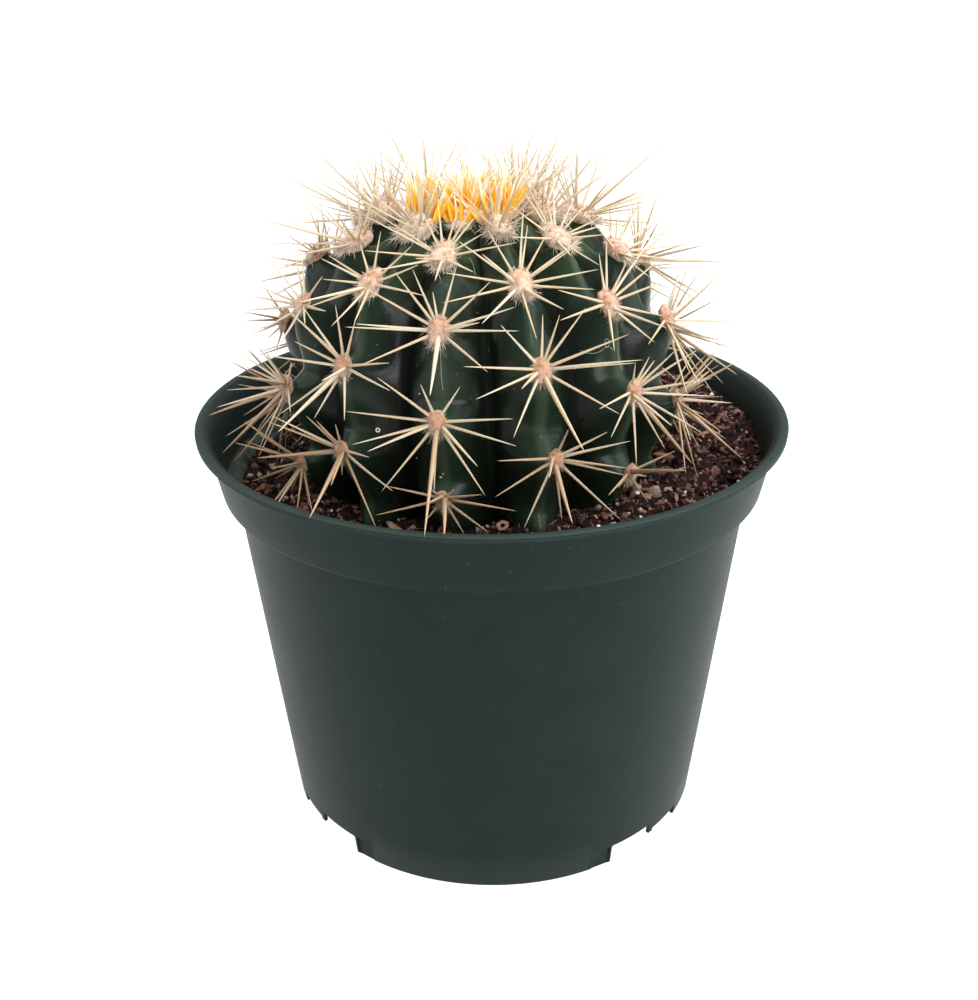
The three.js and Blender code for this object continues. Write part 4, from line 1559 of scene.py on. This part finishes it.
def scatterLumps(rng, finish, name, seed, subdivisions, rough, shapes, count, size, flat):
    templates = [lumpTemplate(seed + i, subdivisions, rough, shape) for i, shape in enumerate(shapes)]
    copies = []
    for x, y, height in scattered(rng, count):
        template = templates[int(rng.integers(len(templates)))]
        grow = rng.uniform(*size) * (0.75 + 0.5 * rng.uniform() ** 3)
        heading = rng.uniform(0, 2 * math.pi)
        if flat:
            tips = rng.normal(0, 0.35), rng.normal(0, 0.3)
        else:
            tips = rng.uniform(0, 3), rng.uniform(0, 3)
        turn = Matrix.Rotation(heading, 3, "Z") @ Matrix.Rotation(tips[0], 3, "X") \
            @ Matrix.Rotation(tips[1], 3, "Y")
        points = pointsOf(template.data) @ np.array(turn).T * grow
        points += np.array([x, y, height + 0.4 * grow])
        copies.append(copyOf(template, points * mm, tone=rng.uniform(0, 1)))
    for template in templates:
        drop(template)
    finishPiece(joined(copies), name, finish, ["soil"], smooth=flat)


def makeCrumbs():
    rng = np.random.default_rng(21)
    crumb = soilCrumb(crumbFinish)
    looks = [crumb, crumb, barkChip(barkFinish), perliteGrain(perliteFinish)]
    for look, lumps in zip(looks, soilShape["lumps"]):
        scatterLumps(rng, look, *lumps)
    hair = hairTemplate()
    copies = []
    for x, y, height in scattered(rng, soilShape["rootlets"]):
        direction = Vector((rng.normal(), rng.normal(), rng.normal(0.1, 0.15)))
        length = rng.uniform(*soilShape["rootletLength"])
        bend = Vector((rng.normal(), rng.normal(), 0)) * length * 0.25
        root = Vector((x, y, height + 0.3))
        points = strandPoints(hair, root, direction, length, rng.uniform(0.1, 0.22), bend)
        far = np.hypot(points[:, 0], points[:, 1])
        points[:, :2] *= np.minimum(1, (potInner(points[:, 2]) - 0.8) / far)[:, None]
        copies.append(copyOf(hair, points * mm, tone=rng.uniform(0, 1)))
    drop(hair)
    finishPiece(joined(copies), "rootlets", softHair(hairFinish, "rootlet"), ["soil"])


makeSoilBed()
makeCrumbs()
print("soil made")


# Loose bits: grains and fine hairs that lie on the skin, the soil and the lip. Each is set
# where the line of sight through its pixel of the photograph meets the piece that carries it
looseBits = {
    "ring": {"spot": (378, 430), "radius": 0.47, "thick": 0.19},
    "grains": [
        # carried by, pixel, half width, half height
        ("cactusBody", (441, 477), 0.36, 0.22),
        ("cactusBody", (443.2, 474), 0.22, 0.15),
        ("cactusBody", (419.6, 393.8), 0.24, 0.12),
        ("cactusBody", (417, 458), 0.16, 0.10),
        ("potShell", (598.5, 526.3), 0.42, 0.22),
        ("soilBed", (515.4, 504), 0.28, 0.25),
        ("soilBed", (544.5, 508.5), 0.26, 0.25),
        ("soilBed", (489, 499.5), 0.34, 0.30),
    ],
    "hairs": [
        [(440.4, 349), (440.8, 361), (440.6, 372), (441.6, 382), (443.0, 390)],
        [(580.4, 350.7), (587, 353.5), (594.4, 355.2), (601, 352.5), (606, 346)],
        [(606, 346), (602.5, 339.5), (607, 335.5), (611, 340.5), (608, 346.5)],
        [(608, 346.5), (604, 349.5), (605.5, 345), (609.5, 345.5), (612.5, 350)],
        [(469, 258), (472, 262), (473.6, 267), (474.8, 271), (474.6, 275)],
    ],
    "hairRadius": 0.07,
    "hairLift": 0.12,
    "soilLift": 0.9,
    "curl": {"spot": (502.5, 529), "radius": 1.0, "thick": 0.5, "tilt": 55, "heading": 14,
             "lift": 0.95, "tone": 0.82},
}


def landingOn(name, spot):
    # where the line of sight through a pixel meets a piece, in millimetres, and the way out of it
    eye = Vector(cameraView["place"])
    _, place, normal, _ = bpy.data.objects[name].ray_cast(eye, throughPixel(spot))
    return place / mm, normal


def looseRing(shape, place, turn, segments):
    selectNone()
    bpy.ops.mesh.primitive_torus_add(
        major_segments=segments[0], minor_segments=segments[1], rotation=turn, location=place * mm,
        major_radius=shape["radius"] * mm, minor_radius=shape["thick"] * mm)
    settle(bpy.context.object)
    return bpy.context.object


def makeLooseGrains():
    grains = []
    for name, spot, wide, high in looseBits["grains"]:
        place, out = landingOn(name, spot)
        if name == "soilBed":  # over the crumbs
            place.z += looseBits["soilLift"]
        grain, ball = newBall(2)
        dents = 1 + 0.16 * np.sin(4 * ball[:, 0] + spot[0]) * np.cos(5 * ball[:, 1] + spot[1])
        turn = np.array(out.to_track_quat("Z", "Y").to_matrix())
        shaped = (ball * dents[:, None] * np.array([wide, 0.7 * wide, high])) @ turn.T
        setPoints(grain.data, (shaped + np.array(place + out * high * 0.6)) * mm)
        grains.append(grain)
    ring = looseBits["ring"]
    place, out = landingOn("cactusBody", ring["spot"])
    turn = out.to_track_quat("Z", "Y").to_euler()
    grains.append(looseRing(ring, place + out * ring["thick"] * 0.7, turn, (20, 8)))
    finishPiece(joined(grains), "looseGrains", perliteGrain(perliteFinish), ["soil"])


def makeSkinHairs():
    hairs = []
    for spots in looseBits["hairs"]:
        selectNone()
        bpy.ops.curve.primitive_nurbs_path_add(radius=mm)
        strand = bpy.context.object
        for point, spot in zip(strand.data.splines[0].points, spots):
            place, out = landingOn("cactusBody", spot)
            point.co = (*((place + out * looseBits["hairLift"]) * mm), 1)
        strand.data.bevel_depth = looseBits["hairRadius"] * mm
        strand.data.bevel_resolution = 1
        strand.data.use_fill_caps = True
        bpy.ops.object.convert(target="MESH")
        strand = bpy.context.object
        settle(strand)
        stamp(strand.data, "tone", 0.6)
        stamp(strand.data, "age", 0.5)
        hairs.append(strand)
    finishPiece(joined(hairs), "skinHairs", softHair(hairFinish, "skinHair"), ["cactus"])


def makeCurledBark():
    curl = looseBits["curl"]
    place, _ = landingOn("soilBed", curl["spot"])
    turn = (math.radians(curl["tilt"]), 0, math.radians(curl["heading"]))
    flake = looseRing(curl, place + Vector((0, 0, curl["lift"])), turn, (28, 10))
    loop = pointsOf(flake.data)
    middle = loop.mean(axis=0)
    around = np.arctan2(loop[:, 2] - middle[2], loop[:, 0] - middle[0])
    swollen = 1 + 0.14 * np.sin(2 * around + 1) + 0.07 * np.sin(5 * around)
    setPoints(flake.data, middle + (loop - middle) * swollen[:, None])
    stamp(flake.data, "tone", curl["tone"])
    finishPiece(flake, "curledBark", barkChip(barkFinish), ["soil"])


bpy.context.view_layer.update()
makeLooseGrains()
makeSkinHairs()
makeCurledBark()
print("loose bits made")


# Floor, light and colour
studio = {
    "floor": (0.30, 0.30, 0.30),
    "floorGlow": 1.0,
    "sky": (0.94, 0.97, 1.0),
    "skyStrength": 0.50,
    "lamps": [
        # place, width, height, watts, aim height, seen in glossy surfaces
        ((-0.85, -0.05, 0.60), 0.8, 0.8, 3, 0.12, True),
        ((0.85, -0.10, 0.65), 0.9, 0.9, 5, 0.12, True),
        ((0.85, -0.10, 0.65), 0.9, 0.9, 4, 0.12, False),
        ((0.15, 0.10, 1.05), 0.8, 0.8, 10, 0.14, False),
        ((0.35, -0.80, 0.75), 0.8, 0.8, 5, 0.12, False),
        ((0.47, -0.66, 0.50), 0.20, 0.50, 2.3, 0.14, True),
    ],
}


def makeStudio():
    selectNone()
    bpy.ops.mesh.primitive_plane_add(size=24, location=(0, 0, 0))
    floor = bpy.context.object
    settle(floor)
    floor.name = "studioFloor"
    paper = Finish("studioPaper", Roughness=0.9, Base_Color=(*studio["floor"], 1),
                   Emission_Color=(1, 1, 1, 1), Emission_Strength=studio["floorGlow"])
    floor.data.materials.append(paper.material)
    for index, (place, width, height, power, aim, mirrored) in enumerate(studio["lamps"]):
        lamp = bpy.data.lights.new(f"softbox{index}", "AREA")
        lamp.shape = "RECTANGLE"
        lamp.size = width
        lamp.size_y = height
        lamp.energy = power
        holder = bpy.data.objects.new(f"softbox{index}", lamp)
        bpy.context.collection.objects.link(holder)
        holder.location = place
        holder.visible_glossy = mirrored
        toward = Vector((0, 0, aim)) - Vector(place)
        holder.rotation_euler = toward.to_track_quat("-Z", "Y").to_euler()
    world = bpy.data.worlds.new("studioSky")
    world.use_nodes = True
    backdrop = world.node_tree.nodes["Background"]
    backdrop.inputs["Color"].default_value = (*studio["sky"], 1)
    backdrop.inputs["Strength"].default_value = studio["skyStrength"]
    bpy.context.scene.world = world
    bpy.context.scene.view_settings.view_transform = "Standard"


makeStudio()
print("studio lit")
